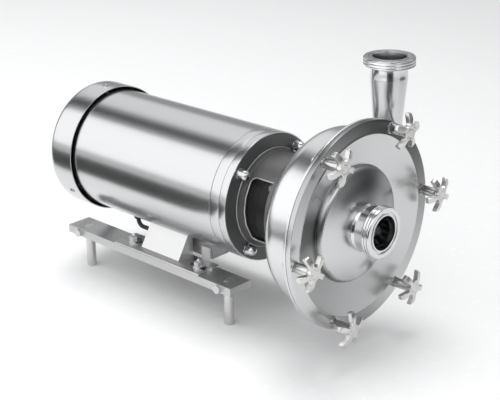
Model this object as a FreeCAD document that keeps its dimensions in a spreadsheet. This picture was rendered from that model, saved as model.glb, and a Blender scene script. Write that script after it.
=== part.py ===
import FreeCAD, Part
import math
import os
import Sketcher

# Centrifugal pump: stainless wet end, cast lantern, shrouded motor and a base with four sliding legs.
# The origin is the centre of the inlet face. +X runs out of the inlet along the shaft, +Z is up.
# Distances along the shaft are written as millimetres behind the inlet face.

doc = FreeCAD.newDocument("CentrifugalPump")

DRIVING = {
    # Ports: union for a pipe of 50 mm bore
    "port_bore_r": 25.0, "thread_r": 38.0, "thread_width": 11.0, "union_length": 31.6,
    "seat_r": 30.5, "seat_depth": 2.5, "seat_lip": 2.5, "thread_chamfer": 1.5, "thread_back": 3.5,
    "union_flare": 3.5, "inlet_neck_r": 32.5, "inlet_foot_r": 36.0, "outlet_foot_r": 27.9,
    # Front cover, from the dome back to the rim
    "cover_face": 39.6, "cover_wall": 4.0, "rim_r": 153.2, "lip_r": 133.0, "lip_proud": 1.0,
    "crease_back": 52.6, "crease_r": 87.0, "shoulder_back": 43.0, "shoulder_r": 78.0,
    "shoulder_bend_r": 13.0, "dome_bend_r": 150.0, "lip_slope": 2.0, "cover_spigot_gap": 0.4,
    # Casing shell
    "joint": 47.6, "casing_flange_back": 52.6, "casing_r": 134.0, "casing_wall": 3.0,
    "casing_back": 118.6, "casing_bend_r": 28.0, "hub_r": 45.0, "hub_depth": 15.0,
    "seal_seat_r": 24.0, "mount_ring_r": 82.0, "mount_ring_bore_r": 60.0,
    "gasket_in_r": 134.5, "gasket_out_r": 138.0, "gasket_depth": 3.0,
    # Discharge pipe, standing tangentially on the casing
    "outlet_back": 80.6, "outlet_side": 107.0, "outlet_top": 219.0, "stub_r": 21.8, "stub_bore_r": 20.0,
    "stub_base": 40.0, "stub_bore_base": 30.0, "stub_top": 123.0, "reducer_r": 27.3,
    # Cover studs, washers and star nuts
    "stud_circle_r": 144.0, "stud_phase": 6.0, "stud_r": 5.0, "stud_play": 0.35,
    "fit_gap": 0.05, "stud_reach": 26.0,
    "washer_r": 8.2, "washer_thick": 1.6, "barrel_r": 7.3, "barrel_length": 25.0,
    "star_reach": 27.0, "arm_half": 4.2, "star_web_r": 10.5, "star_thick": 7.0, "star_droop": 5.0,
    "star_flat_r": 9.0, "star_bend_r": 34.0, "star_rise": 4.0, "star_neck": 3.5, "star_neck_r": 11.3,
    "star_straight": 8.0, "star_outside": 14.0, "thread_runout": 2.0, "stud_head": 4.0, "stud_bevel": 1.0,
    # Lantern between the casing and the motor
    "lantern_front": 142.6, "motor_face": 212.6, "lantern_r": 72.0, "lantern_wall": 4.0,
    "lantern_flange_r": 84.0, "lantern_flange": 8.0, "lantern_lip_r": 77.0, "lantern_lip": 3.0,
    "lantern_step_r": 74.0, "lantern_step": 9.5, "lantern_floor": 8.0, "lantern_floor_r": 46.0,
    "spigot_r": 65.0, "spigot": 3.5, "window_start": 12.0, "window_end": 58.0, "window_half": 49.0,
    "window_corner_r": 7.0, "guard_thick": 2.0, "guard_lap": 3.0, "front_opening_r": 50.0,
    "lantern_bevel": 1.0,
    # Motor, 90 mm shaft height frame with a face flange
    "shroud_r": 100.0, "shroud_wall": 1.5, "band_back": 32.0, "band_seam": 13.5, "seam_size": 0.8,
    "shroud_back": 385.0, "flange_thick": 12.0, "housing_r": 76.0, "housing_wall": 8.0,
    "register_back": 34.0, "housing_back": 300.0, "bearing_r": 26.0, "bearing_width": 15.0,
    "flange_bore_r": 14.0, "bell_floor": 5.0, "seat_wall": 8.0, "shield_depth": 10.0, "shield_lip": 5.0,
    "shield_bevel": 3.0, "seat_rim": 6.0, "seat_rib": 12.0, "coil_slot": 4.0, "coil_bevel": 4.0,
    "front_bearing_back": 32.0, "rear_bearing_back": 302.0, "core_front": 90.0, "core_back": 220.0,
    "core_bore_r": 38.0, "rotor_gap": 0.5, "winding": 20.0, "winding_r": 60.0,
    "bearing_shaft_r": 12.5, "running_gap": 0.03, "shaft_r": 12.0, "shaft_reach": 50.0,
    "rotor_shaft_r": 19.0, "fan_shaft_r": 10.0, "shaft_back": 378.0,
    "fan_front": 345.0, "fan_width": 30.0, "fan_r": 85.0, "fan_hub_r": 20.0, "fan_disc_r": 75.0,
    "fan_disc": 3.0, "fan_blade": 3.0, "fan_blade_root_r": 18.0,
    # Fan cowl
    "cowl_front": 348.0, "cowl_back": 408.0, "cowl_r": 106.0, "cowl_wall": 1.4, "cowl_bend_r": 16.0,
    "cowl_screw_back": 370.0, "cowl_screw_phase": 93.0, "cowl_screw_r": 2.0, "spacer_r": 4.0,
    "cowl_head_r": 4.5, "cowl_head_top_r": 2.5, "cowl_head": 2.6, "cowl_screw_tail": 6.0,
    "spacer_gap": 0.12, "air_slot_in_r": 38.0, "air_slot_out_r": 80.0, "air_slot_width": 5.0,
    # Pump shaft, seal and impeller
    "stub_start": 12.0, "stub_end": 62.0, "stub_out_r": 20.0, "pump_shaft_r": 15.0,
    "clamp_start": 16.0, "clamp_width": 20.0, "clamp_r": 31.0, "clamp_cut": 2.0, "clamp_cut_r": 16.0,
    "seal_face": 105.0, "seal_width": 9.0, "seal_lip": 3.0, "seal_step": 1.4,
    "seal_bore_r": 17.0, "seal_spin_r": 22.0, "face_gap": 0.05, "nose_back": 96.0, "nose_r": 12.0,
    "nose_front": 62.0, "nut_thread_r": 8.0, "nut_thread_front": 50.0, "nut_r": 16.0, "nut_rim": 4.0,
    "nut_shoulder": 8.0, "nut_shoulder_r": 14.0, "nut_dome_r": 17.0, "nut_cap": 6.0,
    "disc_back": 95.0, "disc_thick": 5.0, "disc_edge": 3.5, "impeller_r": 95.0,
    "hub_foot_r": 36.0, "hub_bend_r": 30.0, "hub_shoulder_back": 74.0, "hub_shoulder_r": 20.0,
    "hub_tip_r": 17.0, "vane_thick": 4.0, "vane_sweep": 75.0, "vane_bend_r": 62.0, "eye_r": 27.0,
    "vane_outer_back": 60.0, "vane_edge_r": 85.0, "vane_break_back": 51.0, "vane_break_r": 75.0,
    "vane_inner_back": 42.0, "vane_crown_r": 45.0, "vane_root_r": 24.0,
    # Base rails, legs and brackets
    "rail_front": 208.7, "rail_length": 380.4, "rail_in": 52.3, "rail_out": 96.6,
    "rail_top": 118.6, "rail_thick": 13.5, "leg_side": 74.4, "leg_r": 8.0, "leg_foot": 191.5,
    "leg_front_back": 233.6, "leg_rear_back": 560.6, "leg_gap": 0.05, "leg_edge": 1.2,
    "lock_r": 4.0, "lock_head": 5.5, "lock_head_r": 7.5, "lock_tip_gap": 0.3,
    "plate_thick": 3.0, "plate_front": 276.6, "plate_back": 470.6, "plate_in": 49.5, "plate_out": 96.0,
    "slot_width": 13.0, "slot_side": 73.0, "slot_depth": 34.0, "foot_bolt_front": 298.9,
    "foot_bolt_back": 448.6, "riser_front": 334.6, "riser_back": 420.6, "riser_out": 83.0,
    "riser_top_side": 60.0, "riser_top": 79.0,
    # Terminal box, glands and motor lead
    "box_front": 299.6, "box_back": 434.6, "box_half": 41.0, "box_bottom": 115.5, "lid_thick": 3.0,
    "box_wall": 3.0, "cutout_margin": 2.0, "cutout_depth": 40.0, "box_roof": 4.0, "lead_r": 3.5,
    "lead_side": 36.0, "gland_r": 7.0, "gland_nose_r": 5.5, "gland_entry_r": 4.4, "gland_bevel": 2.0,
    "gland_collar": 6.0,
    "lead_drop_back": 478.6, "drop_start": 96.0, "lead_bend_r": 11.0, "lead_level": 108.0,
    "gland_length": 12.0,
    "plug_front": 302.6, "plug_size": 18.0, "plug_thick": 4.0, "plug_corner_r": 2.0, "plug_lift": 0.5,
}

FASTENERS = {
    "face_bolt_circle_r": 87.0, "face_bolt_phase": 51.0, "bolt_r": 5.0, "hex_r": 9.4, "nut_height": 8.0,
    "dome_height": 8.0, "dome_bend_ratio": 1.1, "bolt_washer_r": 9.0, "bolt_washer": 1.6, "head_height": 6.4,
    "mount_stud_r": 3.0, "mount_circle_r": 78.0, "mount_phase": 36.0, "mount_nut_r": 5.6,
    "mount_nut": 5.0, "mount_tail": 1.5, "mount_bite": 10.0,
    "inner_screw_r": 3.0, "inner_circle_r": 55.0, "inner_phase": 45.0, "inner_bite": 6.0,
    "inner_head_r": 5.0, "inner_head": 5.0, "socket_r": 2.5, "socket": 2.5,
    "foot_stud_r": 4.0, "foot_hex_r": 7.4, "foot_head": 5.0, "foot_nut": 6.5, "foot_dome": 5.5,
    "foot_washer_r": 10.0,
}


STUDS = 6
FACE_BOLTS = 4
COWL_SCREWS = 3
VANES = 6
BLADES = 8
AIR_SLOTS = 16
STAR_ARMS = 5
# Angle that each star nut stopped at when it was tightened, in degrees
STAR_TURNS = [9.0, 47.8, 13.9, 5.0, 49.6, 17.9]
# How far a cut starts outside the solid
OVERCUT = 1.0
ROUND_END = 1.05


class Size:
    """A length that carries both its number and the spreadsheet formula that drives it."""

    def __init__(self, number, formula):
        self.number = number
        self.formula = formula

    def combined(self, other, sign, swap=False):
        first, second = (lift(other), self) if swap else (self, lift(other))
        a, b = first.number, second.number
        numbers = {"+": a + b, "-": a - b, "*": a * b, "/": a / b if b else 0.0}
        return Size(numbers[sign], "(%s %s %s)" % (first.formula, sign, second.formula))

    def __add__(self, other):
        return self.combined(other, "+")

    def __radd__(self, other):
        return self.combined(other, "+", swap=True)

    def __sub__(self, other):
        return self.combined(other, "-")

    def __rsub__(self, other):
        return self.combined(other, "-", swap=True)

    def __mul__(self, other):
        return self.combined(other, "*")

    def __rmul__(self, other):
        return self.combined(other, "*", swap=True)

    def __truediv__(self, other):
        return self.combined(other, "/")

    def __neg__(self):
        return self.combined(0.0, "-", swap=True)


def lift(value):
    """A plain number as a Size with itself as its formula."""
    return value if isinstance(value, Size) else Size(float(value), "%.9g" % value)


def fill_sheet(table):
    """Writes each driving dimension into a spreadsheet cell and names the cell."""
    sheet = doc.addObject("Spreadsheet::Sheet", "Sizes")
    for row, (name, number) in enumerate(table.items(), start=1):
        sheet.set("A%d" % row, name)
        sheet.set("B%d" % row, str(number))
        sheet.setAlias("B%d" % row, name)
    doc.recompute()
    return {name: Size(number, "Sizes." + name) for name, number in table.items()}


size = fill_sheet({**DRIVING, **FASTENERS})
finished = []


def bind(item, **values):
    """Ties properties of an object to formulas; a double underscore stands for a dot."""
    for name, value in values.items():
        item.setExpression(name.replace("__", "."), lift(value).formula)


def stand(item, x=0, y=0, z=0, axis=None, angle=0):
    """Places an object at bound coordinates, turned about an axis first."""
    item.Placement = FreeCAD.Placement(
        FreeCAD.Vector(lift(x).number, lift(y).number, lift(z).number),
        FreeCAD.Rotation(FreeCAD.Vector(*(axis or (0, 0, 1))), angle))
    bind(item, Placement__Base__x=x, Placement__Base__y=y, Placement__Base__z=z)
    return item


def finish(item, label):
    """Names an object as one finished piece of the pump."""
    item.Label = label
    finished.append(item)
    return item


def body(name):
    return doc.addObject("PartDesign::Body", name)


def origin_item(owner, role):
    return [feature for feature in owner.Origin.OriginFeatures if feature.Role == role][0]


def sketch_on(owner, role, offset=0):
    """An empty sketch on one of the body's own origin planes, or a bound distance in front of it."""
    sketch = owner.newObject("Sketcher::SketchObject", owner.Name + "_sketch")
    sketch.AttachmentSupport = (origin_item(owner, role), [""])
    sketch.MapMode = "FlatFace"
    sketch.AttachmentOffset = FreeCAD.Placement(
        FreeCAD.Vector(0, 0, lift(offset).number), FreeCAD.Rotation())
    bind(sketch, AttachmentOffset__Base__z=offset)
    return sketch


def bound(sketch, kind, *places, value):
    """One dimension in a sketch, tied to its formula."""
    index = sketch.addConstraint(Sketcher.Constraint(kind, *places, lift(value).number))
    sketch.setExpression("Constraints[%d]" % index, lift(value).formula)


def arc_between(start, end, radius):
    """Arc from start to end. A positive radius turns left on the way, a negative one right."""
    way = end - start
    left = FreeCAD.Vector(-way.y, way.x, 0).normalize()
    drop = math.sqrt(max(radius * radius - way.Length ** 2 / 4, 0.0))
    centre = (start + end) * 0.5 + left * math.copysign(drop, radius)
    low, high = (start, end) if radius > 0 else (end, start)
    from_angle = math.atan2(low.y - centre.y, low.x - centre.x)
    to_angle = math.atan2(high.y - centre.y, high.x - centre.x)
    if to_angle < from_angle:
        to_angle += 2 * math.pi
    round_edge = Part.Circle(centre, FreeCAD.Vector(0, 0, 1), abs(radius))
    return Part.ArcOfCircle(round_edge, from_angle, to_angle)


def outline(sketch, points):
    """Closed outline. A point is (x, y), or (x, y, radius) where an arc leads on to the next point."""
    count = len(points)
    corners = [FreeCAD.Vector(lift(point[0]).number, lift(point[1]).number, 0) for point in points]
    first, last, bends = [], [], []
    for i, point in enumerate(points):
        bend = lift(point[2]) if len(point) == 3 else None
        start, end = corners[i], corners[(i + 1) % count]
        edge = arc_between(start, end, bend.number) if bend else Part.LineSegment(start, end)
        sketch.addGeometry(edge, False)
        turns_right = bend is not None and bend.number < 0
        first.append(2 if turns_right else 1)
        last.append(1 if turns_right else 2)
        bends.append(-bend if turns_right else bend)
    for i, point in enumerate(points):
        follower = (i + 1) % count
        sketch.addConstraint(Sketcher.Constraint("Coincident", i, last[i], follower, first[follower]))
        bound(sketch, "DistanceX", i, first[i], value=point[0])
        bound(sketch, "DistanceY", i, first[i], value=point[1])
    for i, bend in enumerate(bends):
        if bend:
            bound(sketch, "Radius", i, value=bend)
    return sketch


def circle(sketch, x, y, radius):
    """One circle with bound centre and radius."""
    centre = FreeCAD.Vector(lift(x).number, lift(y).number, 0)
    index = sketch.addGeometry(Part.Circle(centre, FreeCAD.Vector(0, 0, 1), lift(radius).number), False)
    bound(sketch, "Radius", index, value=radius)
    bound(sketch, "DistanceX", index, 3, value=x)
    bound(sketch, "DistanceY", index, 3, value=y)
    return sketch


def turn(owner, points, feature="PartDesign::Revolution"):
    """Turns an outline of (along the shaft, radius) about X, or grooves it away."""
    sketch = outline(sketch_on(owner, "XY_Plane"), points)
    turned = owner.newObject(feature, owner.Name + "_turned")
    turned.Profile = sketch
    turned.ReferenceAxis = (sketch, ["H_Axis"])
    turned.Angle = 360
    doc.recompute()
    return turned


def pad(owner, sketch, length, both_ways=False, reverse=False):
    added = owner.newObject("PartDesign::Pad", owner.Name + "_pad")
    added.Profile = sketch
    added.Midplane = both_ways
    added.Reversed = reverse
    bind(added, Length=length)
    doc.recompute()
    return added


def pocket(owner, sketch, length, both_ways=False, reverse=False):
    """Cuts a sketch away and stops the build if nothing was cut."""
    before = owner.Shape.Volume
    cut = owner.newObject("PartDesign::Pocket", owner.Name + "_pocket")
    cut.Profile = sketch
    cut.Midplane = both_ways
    cut.Reversed = reverse
    bind(cut, Length=length)
    doc.recompute()
    if owner.Shape.Volume > before - 1.0:
        raise RuntimeError("pocket in %s cuts nothing" % owner.Name)
    return cut


def around(owner, features, count, role="X_Axis"):
    """Repeats features evenly about one of the body's own axes."""
    pattern = owner.newObject("PartDesign::PolarPattern", owner.Name + "_pattern")
    pattern.Originals = features
    pattern.Axis = (origin_item(owner, role), [""])
    pattern.Angle = 360
    pattern.Occurrences = count
    owner.Tip = pattern
    doc.recompute()
    return pattern


def end_holes(owner, start, angles, spread, hole_r, depth):
    """Round holes along the shaft, a little wider than what they take, drilled backwards from start."""
    sketch = sketch_on(owner, "YZ_Plane", start)
    for angle in angles:
        turned = math.radians(angle)
        circle(sketch, spread * math.cos(turned), spread * math.sin(turned),
               hole_r + size["fit_gap"])
    pocket(owner, sketch, depth)


def evenly(phase, count):
    """Angles of things evenly round the shaft, in degrees from +Y towards +Z."""
    return [size[phase].number + 360.0 / count * k for k in range(count)]


def turned_piece(label, points):
    """A piece that is one turned profile about the shaft."""
    piece = body(label)
    turn(piece, points)
    return finish(piece, label)


def wet(name):
    """Place on the shaft, given by its distance behind the inlet face."""
    return -size[name]


def ahead(name):
    """Place on the shaft, given by its distance in front of the motor face."""
    return size[name] - size["motor_face"]


def aft(name):
    """Place on the shaft, given by its distance behind the motor face."""
    return -(size["motor_face"] + size[name])


# Wet end: union, front cover, casing, seal and impeller

def union_piece(label, neck, foot):
    """Male dairy union: seat groove in its face, thread land, neck and a flared foot."""
    bore, land, seat = size["port_bore_r"], size["thread_r"], size["seat_r"]
    long, chamfer, deep = size["union_length"], size["thread_chamfer"], -size["seat_depth"]
    lip = bore + size["seat_lip"]
    land_back = -chamfer - size["thread_width"]
    return turned_piece(label, [
        (0, bore), (0, lip), (deep, lip), (deep, seat),
        (0, seat), (0, land - chamfer), (-chamfer, land), (land_back, land),
        (land_back - size["thread_back"], neck), (size["union_flare"] - long, neck),
        (-long, foot), (-long, bore)])


def front_cover():
    """Dished cover: flat rim, cone in to the crease, steep shoulder, then a gentle dome."""
    wall, face = size["cover_wall"], wet("cover_face")
    joint, dome_back = wet("joint"), wet("union_length")
    groove = joint + size["gasket_depth"]
    spigot_r = size["casing_r"] - size["casing_wall"] - size["cover_spigot_gap"]
    cover = body("front_cover")
    turn(cover, [
        (joint, size["rim_r"]), (face, size["rim_r"]), (face, size["lip_r"] + size["lip_slope"]),
        (face + size["lip_proud"], size["lip_r"]),
        (wet("crease_back"), size["crease_r"], -size["shoulder_bend_r"]),
        (wet("shoulder_back"), size["shoulder_r"], -size["dome_bend_r"]),
        (dome_back, size["inlet_foot_r"]), (dome_back, size["port_bore_r"]),
        (dome_back - wall, size["port_bore_r"]),
        (dome_back - wall, size["inlet_foot_r"], size["dome_bend_r"]),
        (wet("shoulder_back") - wall, size["shoulder_r"] - wall / 2, size["shoulder_bend_r"]),
        (wet("crease_back") - wall, size["crease_r"] - wall / 2),
        (joint, spigot_r), (joint, size["gasket_in_r"]), (groove, size["gasket_in_r"]),
        (groove, size["gasket_out_r"]), (joint, size["gasket_out_r"])])
    stud_holes(cover, size["stud_r"] + size["stud_play"])
    return finish(cover, "front_cover")


def stud_holes(owner, hole_r):
    """Holes for the cover studs, straight through both rims."""
    start = wet("cover_face") + OVERCUT
    end_holes(owner, start, evenly("stud_phase", STUDS), size["stud_circle_r"], hole_r,
              start - wet("casing_flange_back") + OVERCUT)


def casing_shell():
    """Deep pressed shell with a mounting ring behind and the tangential discharge stub."""
    joint, back, ring_back = wet("joint"), wet("casing_back"), wet("lantern_front")
    wall, bend = size["casing_wall"], size["casing_bend_r"]
    outer, inner = size["casing_r"], size["casing_r"] - wall
    shell = body("casing_shell")
    turn(shell, [
        (joint, 0), (joint, size["rim_r"]), (wet("casing_flange_back"), size["rim_r"]),
        (wet("casing_flange_back"), outer), (back + bend, outer, bend), (back, outer - bend),
        (back, size["mount_ring_r"]), (ring_back, size["mount_ring_r"]), (ring_back, 0)])
    stub = sketch_on(shell, "XY_Plane", size["stub_base"])
    pad(shell, circle(stub, wet("outlet_back"), size["outlet_side"], size["stub_r"]),
        size["stub_top"] - size["stub_base"])
    hub_face = back + size["hub_depth"]
    turn(shell, [
        (joint, 0), (joint, inner), (back + bend, inner, bend - wall), (back + wall, outer - bend),
        (back + wall, size["hub_r"]), (hub_face, size["hub_r"]), (hub_face, size["seal_seat_r"]),
        (back, size["seal_seat_r"]), (back, size["mount_ring_bore_r"]),
        (ring_back, size["mount_ring_bore_r"]), (ring_back, 0)], "PartDesign::Groove")
    bore = sketch_on(shell, "XY_Plane", size["stub_top"])
    pocket(shell, circle(bore, wet("outlet_back"), size["outlet_side"], size["stub_bore_r"]),
           size["stub_top"] - size["stub_bore_base"])
    stud_holes(shell, size["stud_r"])
    end_holes(shell, ring_back + size["mount_bite"], mount_angles(), size["mount_circle_r"],
              size["mount_stud_r"], size["mount_bite"])
    return finish(shell, "casing_shell")


def discharge_reducer():
    """Concentric reducer from the casing stub up to the union."""
    tall = size["outlet_top"] - size["union_length"] - size["stub_top"]
    cone = body("discharge_reducer")
    turn(cone, [
        (0, size["stub_bore_r"]), (0, size["stub_r"]), (tall, size["reducer_r"]),
        (tall, size["port_bore_r"])])
    stand(cone, wet("outlet_back"), size["outlet_side"], size["stub_top"], (0, 1, 0), -90)
    return finish(cone, "discharge_reducer")


def gasket():
    """Cover gasket, a square ring that fills the groove at the joint."""
    joint = wet("joint")
    groove = joint + size["gasket_depth"]
    return turned_piece("cover_gasket", [
        (joint, size["gasket_in_r"]), (groove, size["gasket_in_r"]),
        (groove, size["gasket_out_r"]), (joint, size["gasket_out_r"])])


def impeller():
    """Open impeller: hub, thin back disc and vanes that curve back against the rotation."""
    back, nose = wet("disc_back"), wet("nose_front")
    reach, eye, thick = size["impeller_r"], size["eye_r"], size["vane_thick"]
    wheel = body("impeller")
    turn(wheel, [
        (back, size["nose_r"]), (back, reach), (back + size["disc_edge"], reach),
        (back + size["disc_thick"], size["hub_foot_r"], size["hub_bend_r"]),
        (wet("hub_shoulder_back"), size["hub_shoulder_r"]), (nose, size["hub_tip_r"]),
        (nose, size["nose_r"])])
    sweep, bend_r = math.radians(size["vane_sweep"].number), size["vane_bend_r"]
    tip = (reach * math.cos(sweep), reach * -math.sin(sweep))
    chord = math.hypot(eye.number - tip[0].number, tip[1].number)
    lean = math.asin(chord / 2 / bend_r.number)
    way = math.atan2(tip[1].number, tip[0].number - eye.number)
    inner_side, outer_side = way + lean - math.pi / 2, way - lean - math.pi / 2
    vane = sketch_on(wheel, "YZ_Plane", back + OVERCUT)
    outline(vane, [
        (eye, 0, -bend_r), tip,
        (tip[0] + thick * math.cos(outer_side), tip[1] + thick * math.sin(outer_side), bend_r - thick),
        (eye + thick * math.cos(inner_side), thick * math.sin(inner_side))])
    blade = pad(wheel, vane, size["disc_back"] - size["vane_inner_back"])
    around(wheel, [blade], VANES)
    crown, outside, ahead_of_all = wet("vane_inner_back"), reach + thick, wet("cover_face")
    turn(wheel, [
        (wet("vane_outer_back"), outside), (wet("vane_outer_back"), size["vane_edge_r"]),
        (wet("vane_break_back"), size["vane_break_r"]), (crown, size["vane_crown_r"]),
        (nose, size["vane_root_r"]), (nose, 0), (ahead_of_all, 0), (ahead_of_all, outside)],
        "PartDesign::Groove")
    return finish(wheel, "impeller")


def impeller_nut():
    """Domed nut on the shaft nose."""
    back, front = wet("nose_front"), wet("nut_thread_front")
    nut = body("impeller_nut")
    turn(nut, [
        (back, size["nut_thread_r"]), (back, size["nut_r"]), (back + size["nut_rim"], size["nut_r"]),
        (back + size["nut_shoulder"], size["nut_shoulder_r"], -size["nut_dome_r"]),
        (front + size["nut_cap"], 0), (front, 0), (front, size["nut_thread_r"])])
    return finish(nut, "impeller_nut")


def shaft_seal():
    """Lapped seal: a still ring pressed in the casing hub and a ring that turns with the shaft."""
    face, width = wet("seal_face"), size["seal_width"]
    bore, step = size["seal_bore_r"], face - size["seal_step"]
    turned_piece("seal_stationary_ring", [
        (face, bore), (face, bore + size["seal_lip"]), (step, bore + size["seal_lip"]),
        (step, size["seal_seat_r"]), (face - width, size["seal_seat_r"]), (face - width, bore)])
    start = face + size["face_gap"]
    turned_piece("seal_rotating_ring", [
        (start, size["pump_shaft_r"]), (start, size["seal_spin_r"]),
        (wet("nose_back"), size["seal_spin_r"]), (wet("nose_back"), size["pump_shaft_r"])])


def stub_shaft():
    """Pump shaft that slips over the motor shaft and carries the impeller on its nose."""
    start, end, bore = ahead("stub_start"), ahead("stub_end"), size["shaft_r"] + size["fit_gap"]
    turned_piece("stub_shaft", [
        (start, bore), (start, size["stub_out_r"]), (end, size["stub_out_r"]),
        (end, size["pump_shaft_r"]), (wet("nose_back"), size["pump_shaft_r"]),
        (wet("nose_back"), size["nose_r"]), (wet("nose_front"), size["nose_r"]),
        (wet("nose_front"), size["nut_thread_r"]), (wet("nut_thread_front"), size["nut_thread_r"]),
        (wet("nut_thread_front"), 0), (ahead("shaft_reach"), 0), (ahead("shaft_reach"), bore)])


def shaft_clamp_ring():
    """Clamp ring that squeezes the pump shaft on the motor shaft, with one saw cut."""
    start, wide = ahead("clamp_start"), size["clamp_width"]
    bore = size["stub_out_r"] + size["fit_gap"]
    ring = body("shaft_clamp_ring")
    turn(ring, [
        (start, bore), (start, size["clamp_r"]), (start + wide, size["clamp_r"]), (start + wide, bore)])
    cut = sketch_on(ring, "XY_Plane")
    low, high = -size["clamp_r"] - OVERCUT, -size["clamp_cut_r"]
    rear, front = start - OVERCUT, start + wide + OVERCUT
    outline(cut, [(rear, low), (front, low), (front, high), (rear, high)])
    pocket(ring, cut, size["clamp_cut"], both_ways=True)
    return finish(ring, "shaft_clamp_ring")


# Lantern and guards

def lantern():
    """Cast lantern: lip and step at the motor, open sides, and a flange against the casing ring."""
    rear, front = ahead("spigot") - size["spigot"], wet("lantern_front")
    outer, inner = size["lantern_r"], size["lantern_r"] - size["lantern_wall"]
    flange, bevel = front - size["lantern_flange"], size["lantern_bevel"]
    recess = size["spigot_r"] + size["fit_gap"]
    frame = body("lantern")
    turn(frame, [
        (rear + size["spigot"], size["lantern_floor_r"]), (rear + size["spigot"], recess),
        (rear, recess), (rear, size["lantern_lip_r"]),
        (rear + size["lantern_lip"], size["lantern_lip_r"]),
        (rear + size["lantern_lip"] + bevel, size["lantern_step_r"] + bevel / 2),
        (rear + size["lantern_step"], size["lantern_step_r"]),
        (rear + size["lantern_step"] + bevel, outer), (flange, outer), (flange, size["lantern_flange_r"]),
        (front, size["lantern_flange_r"]), (front, size["front_opening_r"]),
        (flange, size["front_opening_r"]), (flange, inner),
        (rear + size["lantern_floor"], inner), (rear + size["lantern_floor"], size["lantern_floor_r"])])
    window = sketch_on(frame, "XZ_Plane")
    rounded_box(window, ahead("window_start"), ahead("window_end"), -size["window_half"],
                size["window_half"], size["window_corner_r"])
    pocket(frame, window, size["lantern_flange_r"] * 2, both_ways=True)
    end_holes(frame, front, mount_angles(), size["mount_circle_r"], size["mount_stud_r"],
              size["lantern_flange"])
    end_holes(frame, rear + size["lantern_floor"], evenly("inner_phase", FACE_BOLTS),
              size["inner_circle_r"], size["inner_screw_r"], size["lantern_floor"])
    return finish(frame, "lantern")


def rounded_box(sketch, left, right, low, high, corner):
    """Rectangle with rounded corners."""
    outline(sketch, [
        (left + corner, low), (right - corner, low, corner), (right, low + corner),
        (right, high - corner, corner), (right - corner, high), (left + corner, high, corner),
        (left, high - corner), (left, low + corner, corner)])


def window_guard(label, side):
    """Curved guard sheet behind one lantern window."""
    outer = size["lantern_r"] - size["lantern_wall"]
    lap = size["guard_lap"]
    start, end = ahead("window_start") - lap, ahead("window_end") + lap
    tube = doc.addObject("Part::Cylinder", label + "_outside")
    bind(tube, Radius=outer, Height=end - start)
    stand(tube, start, axis=(0, 1, 0), angle=90)
    hollow = doc.addObject("Part::Cylinder", label + "_inside")
    bind(hollow, Radius=outer - size["guard_thick"], Height=end - start)
    stand(hollow, start, axis=(0, 1, 0), angle=90)
    sheet = doc.addObject("Part::Cut", label + "_sheet")
    sheet.Base, sheet.Tool = tube, hollow
    block = doc.addObject("Part::Box", label + "_block")
    bind(block, Length=end - start, Width=outer, Height=2 * (size["window_half"] + lap))
    stand(block, start, 0 if side > 0 else -outer, -(size["window_half"] + lap))
    guard = doc.addObject("Part::Common", label)
    guard.Base, guard.Tool = sheet, block
    return finish(guard, label)


# Motor

def motor_flange():
    """Front end shield: face flange with spigot, bearing seat and a register for the housing."""
    face = ahead("spigot") - size["spigot"]
    rear = aft("flange_thick")
    register, seat = aft("register_back"), aft("front_bearing_back")
    bell = size["housing_r"] - size["housing_wall"]
    bore = size["bearing_r"]
    spigot_face, spigot = face + size["spigot"], size["spigot_r"]
    skin, floor = size["shroud_r"] - size["shroud_wall"], rear - size["bell_floor"]
    seat_top, seat_outer = seat + size["bearing_width"], bore + size["seat_wall"]
    shield = body("motor_flange")
    turn(shield, [
        (spigot_face, size["flange_bore_r"]), (spigot_face, spigot), (face, spigot), (face, skin),
        (rear, skin), (rear, size["housing_r"]), (register, size["housing_r"]), (register, bell),
        (floor, bell), (floor, seat_outer), (seat, seat_outer), (seat, bore), (seat_top, bore),
        (seat_top, size["flange_bore_r"])])
    end_holes(shield, face + OVERCUT, evenly("face_bolt_phase", FACE_BOLTS), size["face_bolt_circle_r"],
              size["bolt_r"], face - rear + 2 * OVERCUT)
    end_holes(shield, spigot_face, evenly("inner_phase", FACE_BOLTS), size["inner_circle_r"],
              size["inner_screw_r"], size["inner_bite"])
    return finish(shield, "motor_flange")


def motor_inside():
    """Housing, stator, windings, rear shield and both bearings, all turned about the shaft."""
    outer, inner = size["housing_r"], size["housing_r"] - size["housing_wall"]
    turned_piece("stator_housing", [
        (aft("register_back"), inner), (aft("register_back"), outer),
        (aft("housing_back"), outer), (aft("housing_back"), inner)])
    turned_piece("stator_core", [
        (aft("core_front"), size["core_bore_r"]), (aft("core_front"), inner),
        (aft("core_back"), inner), (aft("core_back"), size["core_bore_r"])])
    coils = []
    for name, near, way in (("front_coils", aft("core_front"), 1), ("rear_coils", aft("core_back"), -1)):
        coil = body(name)
        far, bevel = near + way * size["winding"], size["coil_bevel"]
        low, high = size["core_bore_r"] + size["coil_slot"], size["winding_r"]
        turn(coil, [(near, low), (far - way * bevel, low), (far, low + bevel), (far, high - bevel),
                    (far - way * bevel, high), (near, high)])
        coils.append(coil)
    windings = doc.addObject("Part::Compound", "stator_windings")
    windings.Links = coils
    finish(windings, "stator_windings")
    back, bore, seat = aft("housing_back"), size["bearing_r"], aft("rear_bearing_back")
    deep, lip, hole = size["shield_depth"], inner - size["shield_lip"], size["fan_shaft_r"] + OVERCUT
    seat_top = seat + size["bearing_width"]
    turned_piece("rear_end_shield", [
        (back + deep, lip), (back + deep, inner), (back, inner), (back, outer),
        (back - deep, outer - size["shield_bevel"]), (back - deep, hole), (seat, hole), (seat, bore),
        (seat_top, bore), (seat_top, bore + size["seat_rim"]), (back, bore + size["seat_rib"]),
        (back, lip)])
    for label, start in (("front_bearing", aft("front_bearing_back")), ("rear_bearing", seat)):
        bore_r = size["bearing_shaft_r"] + size["running_gap"]
        end = start + size["bearing_width"]
        turned_piece(label, [(start, bore_r), (start, bore), (end, bore), (end, bore_r)])


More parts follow.
